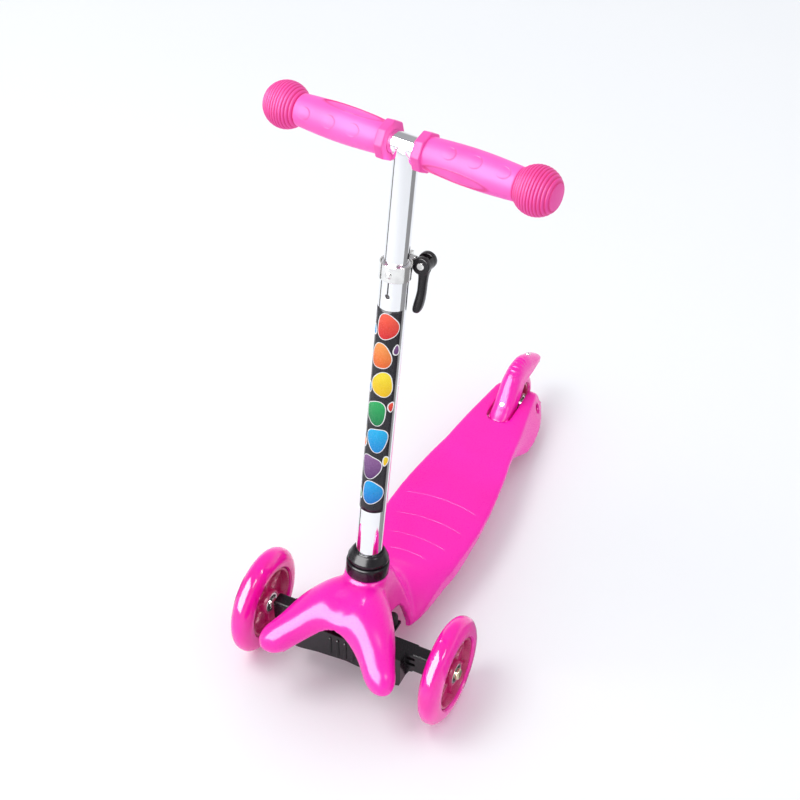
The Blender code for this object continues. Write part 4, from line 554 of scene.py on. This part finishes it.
def makeHub(size, matrix, body, node):
    # rim, web and barrel as one profile turned about the axle; on the web the height grows
    # into six ribs, by distance from each rib's middle line
    rimWall, web, barrel, barrelHalf, bore, spokes, half, deep, lip, edge, around = hub.values()
    rim = size["bore"] - 0.4
    inner, rimHalf = rim - rimWall, size["width"] / 2 - lip - 0.3
    side = [(bore, barrelHalf - edge), (bore + edge, barrelHalf), (barrel - edge, barrelHalf),
            (barrel, barrelHalf - edge), (barrel + 0.3, 6), (barrel + 0.6, web + 1.4),
            (barrel + 1, web + 0.4)]
    side += [(r, web) for r in np.linspace(barrel + 1.8, inner - 1.6, 22)]
    side += [(inner - 0.9, web + 0.4), (inner - 0.4, web + 1.4), (inner, rimHalf - edge),
             (inner + edge, rimHalf), (rim - edge, rimHalf), (rim, rimHalf - edge)]
    profile = np.array(mirrored(side))
    r, z = columns(profile)
    shape = 1 - softStep(fromNearest(circle(around), spokes) * r, half - 0.6, half + 0.4)
    onWeb = (np.abs(z) < 3.1) & (r > barrel) & (r < inner)
    reach = np.clip(deep - np.abs(z), 0, None) * np.sign(z)
    made = turnedPiece(camel(node), profile, around, matrix, lift=shape * onWeb * reach)
    finish(made, "pink_hub_plastic", body, [node], sharp=42)


def makeWheels():
    for prefix, sign in (("front_left", -1), ("front_right", 1), ("rear", 0)):
        size = wheelSizes[prefix.split("_")[0]]
        matrix = shift(sign * size["x"], *size["at"]) @ alongX
        makeTyre(size, matrix, prefix + "_wheel", prefix + "_tyre")
        makeHub(size, matrix, prefix + "_wheel", prefix + "_hub")


makeWheels()

bolt = dict(radius=6.4, height=4, shank=4, socket=2.4, socketDepth=1.8, slot="gold_zinc_steel")
screw = dict(radius=3.3, height=1.9, shank=1.6, socket=1.2, socketDepth=0.9, slot="zinc_steel", length=6.1,
             sunk=0.4)
boltHead = dict(around=72, rim=0.4, edge=0.2, brow=0.42, socketGrowth=1.12)


def makeBolt(sizes, matrix, length, body, node):
    # a domed head whose crown falls as a circle, a six-sided socket, and a plain shank
    around, rim, edge, brow, growth = boltHead.values()
    radius, height, shank, socket, deep, slot = (sizes[key] for key in bolt)
    dome = [(socket + rim + (radius - socket - rim) * math.sin(t), height * (brow + (1 - brow) * math.cos(t)))
            for t in np.linspace(0, quarter, 9)]
    profile = [(0, height - deep), (socket, height - deep), (socket, height - edge)] + dome
    profile += [(radius, edge), (radius - edge, 0), (shank, 0), (shank, -length), (0, -length)]
    grid = turnedGrid(profile, around)
    hexagon = math.cos(math.pi / 6) / np.cos(fromNearest(circle(around), 6))
    grid[1:3, :, :2] *= hexagon[None, :, None] * growth
    finish(gridPiece(camel(node), placed(grid, matrix)), slot, body, [node])


def makeBolts():
    for node, sign, at, body in (("front_axle_bolt_left", -1, frontAxleAt, "carrier"),
                                 ("front_axle_bolt_right", 1, frontAxleAt, "carrier"),
                                 ("rear_axle_bolt", 1, rearAxleAt, "deck")):
        low, high = (corner.x * 1000 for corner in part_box(node))
        outer = (high if sign > 0 else -low) - bolt["height"]
        matrix = shift(sign * outer, *at) @ rotation(sign * 90, "Y")
        makeBolt(bolt, matrix, high - low - bolt["height"], body, node)


makeBolts()
print("wheels made")

collar = dict(radius=23, height=28.7, step=15.8, bore=14.4, foot=0.3)


def makeCollar():
    # one profile turned about the column: skirt, groove, shoulder and a round dome
    r, top, step, bore, foot = collar.values()
    skirt = [(r - 1, foot), (r - 0.3, foot + 0.2), (r, foot + 1), (r, step - 3), (r - 0.2, step - 2),
             (r - 1, step - 1.2), (r - 2.2, step - 0.8)]
    groove = [(r - 3, step - 0.6), (r - 3.1, step - 0.1), (r - 3, step + 0.4)]
    shoulder = [(r - 1.8, step + 0.9), (r - 1.3, step + 1.4), (r - 1.2, step + 2.6)]
    dome = [(r - 1.3, top - 8.8), (r - 3.4, top - 4.8), (r - 5.4, top - 1.4), (bore + 1.6, top - 0.1)]
    inside = [(bore + 0.6, top - 0.3), (bore, top - 1), (bore, foot)]
    profile = skirt + groove + shoulder + smoothed(dome, 6).tolist() + inside
    finish(turnedPiece("collar", profile, 128, columnFrame), "black_plastic", "deck", ["column_collar"])


makeCollar()
print("collar made")

clamp = dict(bore=14.4, wall=1.4, top=367.8, height=16.5, gap=1.5, ear=4.5, reach=30, slopeFrom=21.1,
             slope=0.839, edge=0.35)


def makeClampBand():
    # a closed outline (ear, round the tube, ear, then back along the bore) between two heights;
    # the lower height climbs in a straight line along the ears
    bore, wall, top, height, gap, ear, reach, slopeFrom, slope, edge = clamp.values()

    def outline(half, radius):
        turn = math.asin(half / radius)
        angle = np.linspace(quarter - turn, turn - 1.5 * math.pi, 97)
        leg = np.linspace(reach, radius * math.cos(turn), 14)[:-1]
        return np.array([np.hstack([0 * leg + half, radius * np.cos(angle), 0 * leg - half]),
                         np.hstack([leg, radius * np.sin(angle), leg[::-1]])])

    x, y = np.hstack([outline(ear, bore + wall), outline(gap, bore)[:, ::-1]])
    low = top - height + np.clip(y - slopeFrom, 0, None) * slope
    grid = np.stack([surface(x, y, low), surface(x, y, top)])
    made = gridPiece("clampBand", placed(grid, columnFrame), capEnds=True)
    edges = made.modifiers.new("edges", "BEVEL")
    edges.width, edges.segments, edges.angle_limit = edge / 1000, 2, math.radians(50)
    finish(made, "zinc_steel", "deck", ["clamp_band"])


makeClampBand()

# sections of the handle: how far down, its middle (x, y), half thickness and half width
leverRows = [(3, 1, -1, 6.8, 8), (11, 1.2, -2, 4.8, 6), (19, 1.4, -2.8, 4.2, 5.6), (29, 1.4, -3.2, 4.2, 5.8),
             (39, 0.4, -3.6, 4.6, 6.6), (46, -0.6, -4, 4.5, 6.6), (50, -1.2, -4.2, 3.4, 5),
             (51.2, -1.4, -4.2, 1.8, 2.8)]
lever = dict(place=(19.5, 22.5, 361.8), radius=8.9, half=10, fork=3.6, edge=1, handleFrom=5.8, square=0.75,
             heel=5.8, heelIn=0.2, heelOver=0.4)


def makeLever():
    # two discs turned about the pivot, a heel between them that is a slice of the same disc,
    # and a handle whose sections are squared circles set along the rows above
    place, r, half, fork, e, handleFrom, square, heel, heelIn, heelOver = lever.values()
    pivot, pieces = columnFrame @ shift(*place), []
    bend = np.linspace(0, quarter, 5)
    for sign in (-1, 1):
        low, high = sorted((sign * fork, sign * half))
        profile = [(0, low)] + [(r - e + e * math.sin(t), low + e - e * math.cos(t)) for t in bend]
        profile += [(r - e + e * math.cos(t), high - e + e * math.sin(t)) for t in bend] + [(0, high)]
        pieces.append(turnedPiece("cheek", profile, 96, pivot @ rotation(-90, "X"), ring=False))
    within, side = r - heelIn, fork + heelOver
    reach = math.acos(heel / within)
    arc = np.linspace(-reach - 0.5, reach, 40)
    ends = np.array([[-side], [side]])
    grid = surface(within * np.cos(arc), ends, within * np.sin(arc))
    pieces.append(gridPiece("heel", placed(grid, pivot), capEnds=True))
    rows = smoothed(leverRows, 10)
    drop, midX, midY, thick, wide = columns(rows[rows[:, 0] >= handleFrom])
    squareX, squareY = squared(circle(56), square)
    grid = surface(midX + thick * squareX, midY + wide * squareY, -drop)
    pieces.append(gridPiece("handle", placed(grid, pivot), capEnds=True))
    finish(joined("clampLever", pieces), "black_plastic", "clamp_lever", ["clamp_lever"])


makeLever()
print("clamp made")

spring = dict(wire=0.6, radius=3, turns=5, height=8.5, low=-11.46, high=8.7, pressed=0.85)


def makeButtonSpring():
    # a round wire whose middle line is a helix: angle and height both grow with the parameter
    w, coil, turns, height, low, high, pressed = spring.values()
    t = np.linspace(0, 1, turns * 28)[:, None]
    turn, around = full * turns * t, circle(12)
    radius = coil + w * np.cos(around)
    length = low + w + (high - low - 2 * w) * t + w * np.sin(around)
    grid = surface(radius * np.cos(turn), length, height + radius * np.sin(turn))
    made = gridPiece("buttonSpring", placed(grid, columnFrame), capEnds=True)
    finish(made, "zinc_steel", "deck", ["column_button_spring"])
    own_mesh(made)


# distance behind the rear axle, height above it, depth of the sides, how much narrower each
# side is, and the round crown's share of the depth
fenderRows = [
    (-60.2, 14.5, 4.5, 7.5, 0.6), (-58.5, 15.8, 8.5, 4, 0.55), (-55, 17.8, 13.5, 1.5, 0.5),
    (-49, 21.7, 17, 0.4, 0.5), (-41, 27.3, 21, 0, 0.5), (-32, 38.3, 24, 0.2, 0.5),
    (-24.5, 48.5, 26, 0.5, 0.53), (-17, 56, 27.5, 1, 0.58), (-8, 60.5, 28.5, 1, 0.66), (1, 62, 29, 1, 0.68),
    (14, 60.5, 28.5, 1, 0.68), (26, 56.5, 25, 1, 0.68), (39, 49, 20, 1.4, 0.68), (52, 40.5, 12, 2.2, 0.68),
    (64, 32, 7.5, 4, 0.68), (71, 25.5, 5, 7, 0.68)]
fender = dict(half=13.8, lean=0.08, crown=11.5, wall=2.2, ribs=6, ribFrom=-16.5, ribPitch=6.2, ribHalf=1.6,
              ribRise=0.8, ribReach=(6, 11), screwRows=dict(brake_screw_front=4, brake_screw_rear=12))
hinge = dict(at=(393 - middleY, 50), radius=4.2, bore=2.3, edge=0.5, start=5.7, end=12.7)


def makeFender():
    # sections hang from the back line: a straight side from the foot up, then a quarter circle
    # to the crown, mirrored; ribs lift the crown by a rounded bump along the line
    f, rows = fender, smoothed(fenderRows, 20)
    y, z, deep, narrow, share = columns(rows)
    along = np.gradient(rows[:, :2], axis=0)
    alongY, alongZ = columns(along / np.linalg.norm(along, axis=1, keepdims=True))
    foot, crownDeep = f["half"] - narrow, deep * share
    wide = foot - f["lean"] * (deep - crownDeep)
    crown = np.minimum(f["crown"], wide - 0.4)
    t, a = np.linspace(0, 1, 12)[:-1], np.linspace(0, quarter, 24)
    x = np.hstack([foot + (wide - foot) * t, wide - crown * (1 - np.cos(a))])
    d = np.hstack([deep + (crownDeep - deep) * t, crownDeep * (1 - np.sin(a))])
    x, d = np.hstack([x, -x[:, ::-1]]), np.hstack([d, d[:, ::-1]])
    for k in range(f["ribs"]):
        bump = np.clip(1 - ((y - f["ribFrom"] - k * f["ribPitch"]) / f["ribHalf"])**2, 0, None)
        d = d - f["ribRise"] * bump * (1 - softStep(np.abs(x), *f["ribReach"]))
    grid = surface(x, y + d * alongZ, z - d * alongY)
    made = gridPiece("brakeFender", placed(grid, shift(0, *rearAxleAt)), closeColumns=False)
    thickened(made, f["wall"], use_even_offset=True, thickness_clamp=1)
    finish(made, "glossy_pink_plastic", "brake", ["brake_fender"], sharp=50)


def makeHinge():
    # a short barrel on each side of the pin, turned about it
    at, r, bore, e, low, high = hinge.values()
    profile = [(bore, low), (r - e, low), (r, low + e), (r, high - e), (r - e, high), (bore, high)]
    for title, sign in (("Left", -1), ("Right", 1)):
        matrix = shift(0, *at) @ rotation(sign * 90, "Y")
        finish(turnedPiece("hingeBarrel" + title, profile, 48, matrix), "glossy_pink_plastic", "brake")


def makeScrews():
    # each stands square on the back line, at one of its rows
    table = np.array(fenderRows)[:, :2]
    for node, row in fender["screwRows"].items():
        stepY, stepZ = table[row + 1] - table[row - 1]
        lean = rotation(math.degrees(math.atan2(stepZ, stepY)), "X")
        seat = shift(0, *rearAxleAt) @ shift(0, *table[row]) @ lean @ shift(0, 0, -screw["sunk"])
        makeBolt(screw, seat, screw["length"], "brake", node)


makeFender()
makeHinge()
makeScrews()
print("fender made")

# Sections of the deck, from the neck to the tail: the middle (y, z), the edge (x, y, z), the
# skirt's foot (x, y, z), and the power by which the surface falls to its edge
deckTable = [
    (56.1, 124, 21.7, 40.8, 126.8, 22.8, 33.3, 128.2, 2), (66, 116.5, 23.2, 52.5, 117, 23.6, 31, 116, 2),
    (70.5, 104, 24.2, 58, 104, 24, 29, 103, 2), (76.5, 92, 26.5, 62.5, 90, 25.2, 28, 88, 2),
    (83, 80, 30.5, 65, 72, 28, 29, 70, 2), (90, 71.5, 34.5, 65, 59, 31, 33, 55, 2.1),
    (98, 65, 38.5, 62.5, 48, 34.5, 40, 43, 2.3), (104, 62, 41.8, 60.8, 38.5, 40, 55, 33, 2.6),
    (109, 60.5, 43.3, 67, 37.5, 43, 67, 30, 3), (115, 59, 46.5, 85, 41.5, 46.5, 85, 28.5, 3.4),
    (125, 56.5, 50.9, 125, 48, 50.9, 125, 28.5, 6), (150, 56.5, 55.5, 150, 52.5, 55.9, 150, 33, 6),
    (200, 56.5, 58.5, 200, 54.5, 58.7, 200, 43, 6), (245, 56.5, 56.5, 245, 55, 56.7, 245, 46.5, 6),
    (297, 56.5, 50, 297, 55, 50.2, 297, 47, 6), (330, 56.5, 44.3, 330, 55, 44.5, 330, 45.5, 6),
    (352, 56.5, 41.7, 352, 55, 42.1, 352, 36, 6), (378, 56.5, 38, 378, 55, 46.8, 378, 24, 6),
    (405, 56.5, 33.3, 405, 55.5, 46.8, 405, 20.5, 6), (430, 56.5, 29.2, 430, 55.7, 43.6, 430, 19.5, 6),
    (448, 56.5, 26.6, 448, 55.5, 38, 448, 20.5, 6), (456, 54, 25.2, 456, 53, 34.5, 456, 24, 6),
    (461, 49, 25.2, 461, 48, 32.2, 461, 30, 6), (462.5, 44, 25.7, 462.5, 43, 30.4, 462.5, 35, 6)]
# Sections of the nose, from its middle to a tip: the section's middle (x, y, z above the
# axle), its heading in degrees, and its reach forward, rearward, up, down in front and behind
noseTable = [
    (0, -7, 52, 0, 36.5, 45, 15, 5, 36), (15, -12, 48.5, 8, 31.5, 45, 26, 8.5, 34),
    (28, -21.5, 43, 20, 25.5, 33.5, 28.5, 14, 25), (41.5, -34, 36.5, 34, 20.5, 26.5, 25.8, 17.5, 18.5),
    (51, -45.5, 29.5, 43, 18, 20, 20.5, 17, 17), (59, -56, 26, 46, 17, 17, 18.5, 18, 18),
    (65.5, -62.5, 24, 47, 15, 15, 16.5, 16.5, 16.5), (70.5, -67.8, 23, 47, 11, 11, 12.5, 12.5, 12.5),
    (73.7, -71.2, 22.3, 47, 5, 5, 6, 6, 6)]
body = dict(voxel=1.5, smoothings=16, longest=4.2, near=6, facing=(0.45, 0.75), alike=(0.8, 0.93),
            neck=23.8, flare=1.7, neckLength=37, nosePower=2 / 2.2, noseEasing=44)


def deckLoft():
    # across a section the share s runs from 0 to 1: x grows with s, y with s squared, and z
    # with s to the row's power; the foot follows, and the whole is mirrored
    cy, cz, ex, ey, ez, fx, fy, fz, power = columns(smoothed(deckTable, 8))
    s, t = 1 - (1 - np.linspace(0, 1, 28))**1.5, np.linspace(0, 1, 12)[1:]
    x = np.hstack([ex * s, ex + (fx - ex) * t])
    y = np.hstack([cy + (ey - cy) * s**2, ey + (fy - ey) * t])
    z = np.hstack([cz + (ez - cz) * s**power, ez + (fz - ez) * t])
    right = surface(x, y - middleY, z) / 1000
    return gridPiece("deckLoft", np.hstack([right[:, :0:-1] * (-1, 1, 1), right]), capEnds=True)


def noseLoft():
    # a section is a squared circle whose reach differs on each side; it stands across the
    # heading, and they run from tip to tip; a row becomes half itself and a quarter of each
    # neighbour, again and again
    rows = smoothed(noseTable, 8)
    rows = np.vstack([rows[:0:-1] * (-1, 1, 1, -1, 1, 1, 1, 1, 1), rows])
    for _ in range(body["noseEasing"]):
        rows[1:-1] = (rows[:-2] + 2 * rows[1:-1] + rows[2:]) / 4
    x, y, z, heading, front, back, up, frontDown, backDown = columns(rows)
    c, s = squared(circle(72), body["nosePower"])
    forward = np.where(c > 0, front, back) * c
    rise = np.where(s > 0, up, np.where(c > 0, frontDown, backDown)) * s
    turn, (axleY, axleZ) = np.radians(heading), frontAxleAt
    grid = surface(x - forward * np.sin(turn), y - forward * np.cos(turn) + axleY, axleZ + z + rise)
    return gridPiece("noseLoft", grid / 1000, capEnds=True)


def smoothTarget():
    # the two lofts and a turned neck grown together and softened where they meet
    neck, deep = body["neck"], -body["neckLength"]
    side = [(0, 0), (neck - 1, 0), (neck, -1), (neck, 0.6 * deep), (neck + body["flare"], deep), (0, deep)]
    neck = turnedPiece("neck", side, 96, columnFrame, ring=False)
    target = joined("bodyTarget", [deckLoft(), noseLoft(), neck])
    grown = target.modifiers.new("grown", "REMESH")
    grown.mode, grown.voxel_size = "VOXEL", body["voxel"] / 1000
    soft = target.modifiers.new("soft", "SMOOTH")
    soft.iterations, soft.factor = body["smoothings"], 0.5
    bpy.context.view_layer.update()
    made = bpy.data.meshes.new_from_object(target.evaluated_get(bpy.context.evaluated_depsgraph_get()))
    bpy.data.objects.remove(target)
    return made


def readArray(collection, name, width=3, kind=np.float32):
    values = np.empty(len(collection) * width, kind)
    collection.foreach_get(name, values)
    return values.reshape(-1, width).astype(float if kind is np.float32 else int)


def makeBody():
    # the frame's own shell, its long edges divided; where its outer skin lies close to the
    # smooth target and faces the same way, it is drawn onto it and takes its normals
    node = frame["nodes"]["deck_body"]
    shaped = bmesh.new()
    shaped.from_mesh(node.data)
    shaped.transform(node.matrix_world)
    bmesh.ops.remove_doubles(shaped, verts=shaped.verts, dist=10 * weldWithin)
    for _ in range(6):
        edges = [edge for edge in shaped.edges if edge.calc_length() > body["longest"] / 1000]
        if not edges:
            break
        bmesh.ops.subdivide_edges(shaped, edges=edges, cuts=1)
        bmesh.ops.triangulate(shaped, faces=shaped.faces)
    made = meshObject("deckBody", shaped)
    mesh, target, near = made.data, smoothTarget(), body["near"] / 1000
    corners = readArray(target.polygons, "vertices", 4, np.int32)
    places, facing = readArray(target.vertices, "co"), readArray(target.vertex_normals, "vector")
    tree = BVHTree.FromPolygons(places.tolist(), corners.tolist())
    points, normals = readArray(mesh.vertices, "co"), readArray(mesh.vertex_normals, "vector")
    found = [tree.find_nearest(point) for point in points.tolist()]
    hit = np.array([nearest[0] for nearest in found])
    ring = corners[[nearest[2] for nearest in found]]
    weight = 1 / (np.linalg.norm(places[ring] - hit[:, None, :], axis=2) + 1e-5)
    wanted = (facing[ring] * weight[:, :, None]).sum(axis=1)
    wanted /= np.linalg.norm(wanted, axis=1, keepdims=True)
    agree = softStep((normals * wanted).sum(axis=1), *body["facing"])
    close = 1 - softStep(np.linalg.norm(hit - points, axis=1), near * 0.6, near)
    drawn = points + (hit - points) * (agree * close)[:, None]
    mesh.vertices.foreach_set("co", drawn.astype(np.float32).ravel())
    mesh.update()
    finish(made, "glossy_pink_plastic", "deck", ["deck_body"], sharp=42)
    corner = readArray(mesh.corner_normals, "vector")
    at = readArray(mesh.loops, "vertex_index", 1, np.int32)[:, 0]
    same = softStep((corner * wanted[at]).sum(axis=1), *body["alike"]) * close[at]
    mixed = corner + (wanted[at] - corner) * same[:, None]
    mixed /= np.maximum(np.linalg.norm(mixed, axis=1, keepdims=True), 1e-9)
    mesh.normals_split_custom_set(mixed.tolist())
    return mesh


shell = makeBody()
print("body made:", len(shell.polygons))

# each row: how far behind the front axle, how much it bows, and its half span
arcs = dict(rows=((222, 8, 50), (187, 7, 45), (156, 6, 40), (134, 4, 25)), half=0.8, rise=0.22, sink=0.2,
            above=80)


def makeArcs():
    # each line bows as a parabola across the deck; its section is a low rounded bump laid on
    # the shell's own surface
    (rows, half, rise, sink, above), pieces = arcs.values(), []
    tree = BVHTree.FromPolygons([v.co for v in shell.vertices], [p.vertices for p in shell.polygons])
    u, w = np.linspace(-1, 1, 91)[:, None], np.linspace(-1, 1, 9)
    lift = (rise + sink) * (1 - w**2) * (1 - softStep(np.abs(u), 0.85, 1)) - sink
    for start, bow, span in rows:
        x = (span * u + 0 * w) / 1000
        y = (start + bow * (1 - u**2) - middleY + half * w) / 1000
        places = zip(x.ravel(), y.ravel())
        ground = [tree.ray_cast((*place, above / 1000), (0, 0, -1))[0].z for place in places]
        grid = surface(x, y, np.reshape(ground, x.shape) + lift / 1000)
        pieces.append(gridPiece("arc", grid, closeColumns=False))
    finish(joined("deckArcs", pieces), "glossy_pink_plastic", "deck")


makeArcs()

# The printed strip: its lifts off the tube, then where each row of pebbles goes. Each pebble:
# how far round the tube from its front and above the row's middle, half width and half
# height, number of lobes and their turn. Inks: light and deep tone of each row.
label = dict(radius=14.1, low=84.7, high=320.9, start=-150, end=70, ground=0.08, white=0.14, ink=0.2,
             border=1.35, shifts=(2.2, -13.6, 0.6), rowPitch=32.3, rowTop=302.7, lobeDepth=0.09)
pebbles = [(0.8, 0.6, 11.4, 13.9, 3, 0.4), (0.8, -7.5, 2.9, 5.2, 3, 1), (-18.5, 5.5, 3.2, 6.4, 3, 2),
           (-26.5, -3, 3.4, 9, 5, 0.7), (-33.2, 6, 2, 4.2, 4, 0.2)]
inks = np.array([
    ((0.98, 0.12, 0.06), (0.72, 0.01, 0.02)), ((1, 0.36, 0.08), (0.84, 0.11, 0.01)),
    ((1, 0.82, 0.03), (0.95, 0.55, 0)), ((0.02, 0.46, 0.12), (0, 0.2, 0.06)),
    ((0.01, 0.5, 0.9), (0, 0.26, 0.68)), ((0.28, 0.12, 0.32), (0.11, 0.03, 0.16)),
    ((0.01, 0.42, 0.88), (0, 0.17, 0.58))])


def onTube(arc, height, lift):
    # wrapped round the tube: the angle is the arc over the tube's radius, from its front
    angle, radius = arc / label["radius"], label["radius"] + lift
    return placed(surface(radius * np.sin(angle), -radius * np.cos(angle), height), columnFrame)


def pebbleGrid(middle, height, halfWide, halfHigh, lobes, turn, grow, low, high):
    # a lobed pebble: its outline's radius is 1 + a cosine of the angle, its lift a low dome
    s, a = np.sqrt(np.linspace(0, 1, 12))[:, None], circle(96)
    lobe = 1 + label["lobeDepth"] * np.cos(lobes * a + turn)
    arc = middle + (halfWide * lobe + grow) * s * np.cos(a)
    rise = (halfHigh * lobe + grow) * s * np.sin(a)
    return onTube(arc, height + rise, low + (high - low) * (1 - s**14)), rise / halfHigh


for name, light, deep, rough, attribute in (
        ("ground_ink", (0.01, 0.008, 0.013), (0.018, 0.015, 0.022), (0.24, 0.36), None),
        ("white_ink", (0.88,) * 3, (0.95,) * 3, (0.22, 0.34), None),
        ("colour_ink", (0.88,) * 3, (1,) * 3, (0.2, 0.32), "ink")):
    materials[name] = surfaceMaterial(
        name, (light, deep), rough, cloud=40, grain=900, bump=0.05, attribute=attribute,
        shader={"Coat Weight": 0.15, "Coat Roughness": 0.1, "Specular IOR Level": 0.3})


def makeLabel():
    # a black sheet round the tube; on it white pebbles, and smaller coloured ones on those,
    # whose tone goes from deep to light with the height
    v = label
    arc = np.radians(np.linspace(v["start"], v["end"], 120)) * v["radius"]
    sheet = onTube(arc, np.linspace(v["low"], v["high"], 60)[:, None], v["ground"])
    ground = gridPiece("labelGround", sheet, closeColumns=False)
    thickened(ground, v["ground"] * 0.8)
    finish(ground, "ground_ink", "deck")
    borders, colours, tones = [], [], []
    for row, ink in enumerate(inks):
        side, middle = 1 if row % 2 == 0 else -1, v["rowTop"] - v["rowPitch"] * row
        for k, (across, up, wide, high, lobes, turn) in enumerate(pebbles):
            offset = across + side * v["shifts"][min(k, 2)]
            pebble = (offset, middle + up * side, wide, high, lobes, turn + row)
            grid, _ = pebbleGrid(*pebble, v["border"], 0, v["white"])
            borders.append(gridPiece("border", grid))
            grid, level = pebbleGrid(*pebble, 0, v["white"] * 0.5, v["ink"])
            colours.append(gridPiece("pebble", grid))
            light, deep = ink if k in (0, 4) else inks[(row + 3 + k) % len(inks)]
            share = np.clip(0.5 + 0.5 * level, 0, 1)[..., None]
            tones.append((grid, deep + (light - deep) * share))
    finish(joined("labelBorders", borders), "white_ink", "deck")
    made = joined("labelPebbles", colours)
    paint(made, tones)
    finish(made, "colour_ink", "deck")


makeLabel()
print("label made")

bearing = dict(outer=11, outerRim=9.2, inner=4.3, innerRim=6.2, half=3.5, dish=0.4, edge=0.3, step=0.1,
               sealIn=0.2)


def makeBearings():
    # outer ring, sunk shield and inner ring as one profile turned about the axle, and a dark
    # seal that stands a little proud of the shield
    outer, outerRim, inner, innerRim, h, dish, e, step, within = bearing.values()
    side = [(inner, h - e), (inner + e, h), (innerRim, h), (innerRim + step, h - dish),
            (outerRim - step, h - dish), (outerRim, h), (outer - e, h), (outer, h - e)]
    low, high, rise = innerRim + within, outerRim - within, h - dish * 0.6
    sealProfile = [(low, -rise), (low, rise), (high, rise), (high, -rise)]
    for prefix in ("front_left", "front_right", "rear"):
        for node in (prefix + "_bearing_outer", prefix + "_bearing_inner"):
            matrix = Matrix.Translation([(a + b) / 2 for a, b in zip(*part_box(node))]) @ alongX
            made = turnedPiece(camel(node), mirrored(side), 96, matrix)
            finish(made, "zinc_steel", prefix + "_wheel", [node])
            seal = turnedPiece(made.name + "Seal", sealProfile, 72, matrix)
            finish(seal, "dark_rubber", prefix + "_wheel")


makeBearings()
makeButtonSpring()
print("bearings made")

# Lamps: power, size and place. Cards: name, from which to which angle, and tone. The world is
# white at the horizon and falls to the sky's tone; the ambient light is even.
stage = dict(
    size=6, sunk=0.0002, ambient=0.88, sky=0.44, horizon=(0.04, 0.42),
    key=(30, 1.4, (-1.1, -0.9, 2.8)), shine=(400, 3.1, (-0.7, -1.9, 1.85)), side=(9, 0.6, (1.7, -0.4, 1.6)),
    cards=(("Dark", -100, -85, 0.03), ("Grey", 88, 138, 0.26)), cardLift=0.0004, cardReach=(0.06, 1.6))


def makeFloor():
    # a flat sheet as a function of x and y
    line = np.linspace(-stage["size"], stage["size"], 9)
    floor = gridPiece("floor", surface(line[:, None], line, -stage["sunk"]), closeColumns=False)
    floor.data.materials.append(surfaceMaterial(
        "floor_look", ((0.905, 0.93, 0.945), (0.925, 0.945, 0.955)), (0.85, 0.95), cloud=1.5, grain=60,
        bump=0.02, shader={"Specular IOR Level": 0.1}))


def makeCard(title, start, end, tone):
    # a sector of the floor round the column, seen only in what is polished: x and y are the
    # distance times the sine and cosine of the angle
    distance = np.linspace(*stage["cardReach"], 12)[:, None]
    angle, foot = np.radians(np.linspace(start, end, 16)), column["seat"][1] / 1000
    grid = surface(distance * np.sin(angle), foot - distance * np.cos(angle), stage["cardLift"])
    card = gridPiece("card" + title, grid, closeColumns=False)
    card.data.materials.append(surfaceMaterial(
        "card_" + title.lower(), ((tone * 0.9,) * 3, (tone,) * 3), (0.8, 0.95), cloud=3, grain=60, bump=0.02))
    card.visible_camera = card.visible_diffuse = card.visible_shadow = card.visible_transmission = False


def makeLamp(name, power, size, place, glossy):
    # a lamp either lights the scene or is only seen in its shine
    data = bpy.data.lights.new(name, "AREA")
    data.energy, data.size = power, size
    lamp = addObject(name, data)
    lamp.visible_diffuse, lamp.visible_glossy = not glossy, glossy
    lamp.matrix_world = aimed(place)


def makeWorld():
    # camera, glossy and transmission rays meet the graded sky, all others the even ambient
    world = bpy.data.worlds.new("studio")
    bpy.context.scene.world = world
    world.use_nodes = True
    tree, sky = world.node_tree, stage["sky"]
    tree.nodes.clear()
    rays, where, split, seen, mix, out = (addNode(tree, kind) for kind in (
        "LightPath", "TexCoord", "SeparateXYZ", "Background", "MixShader", "OutputWorld"))
    ramp = addRamp(tree, zip(stage["horizon"], ((1, 1, 1), (sky, sky, sky * 1.05))))
    ambient = addNode(tree, "Background", {"Color": (0.97, 0.97, 1, 1), "Strength": stage["ambient"]})
    wire(where, "Generated", split, "Vector")
    wire(split, "Z", ramp, "Fac")
    wire(ramp, "Color", seen, "Color")
    direct, output = rays, "Is Camera Ray"
    for kind in ("Is Glossy Ray", "Is Transmission Ray"):
        either = addNode(tree, "Math", operation="MAXIMUM")
        wire(direct, output, either, 0)
        wire(rays, kind, either, 1)
        direct, output = either, "Value"
    wire(direct, output, mix, "Fac")
    wire(ambient, "Background", mix, 1)
    wire(seen, "Background", mix, 2)
    wire(mix, "Shader", out, "Surface")


makeFloor()
for card in stage["cards"]:
    makeCard(*card)
for name in ("key", "shine", "side"):
    makeLamp(name, *stage[name], glossy=name != "key")
makeWorld()
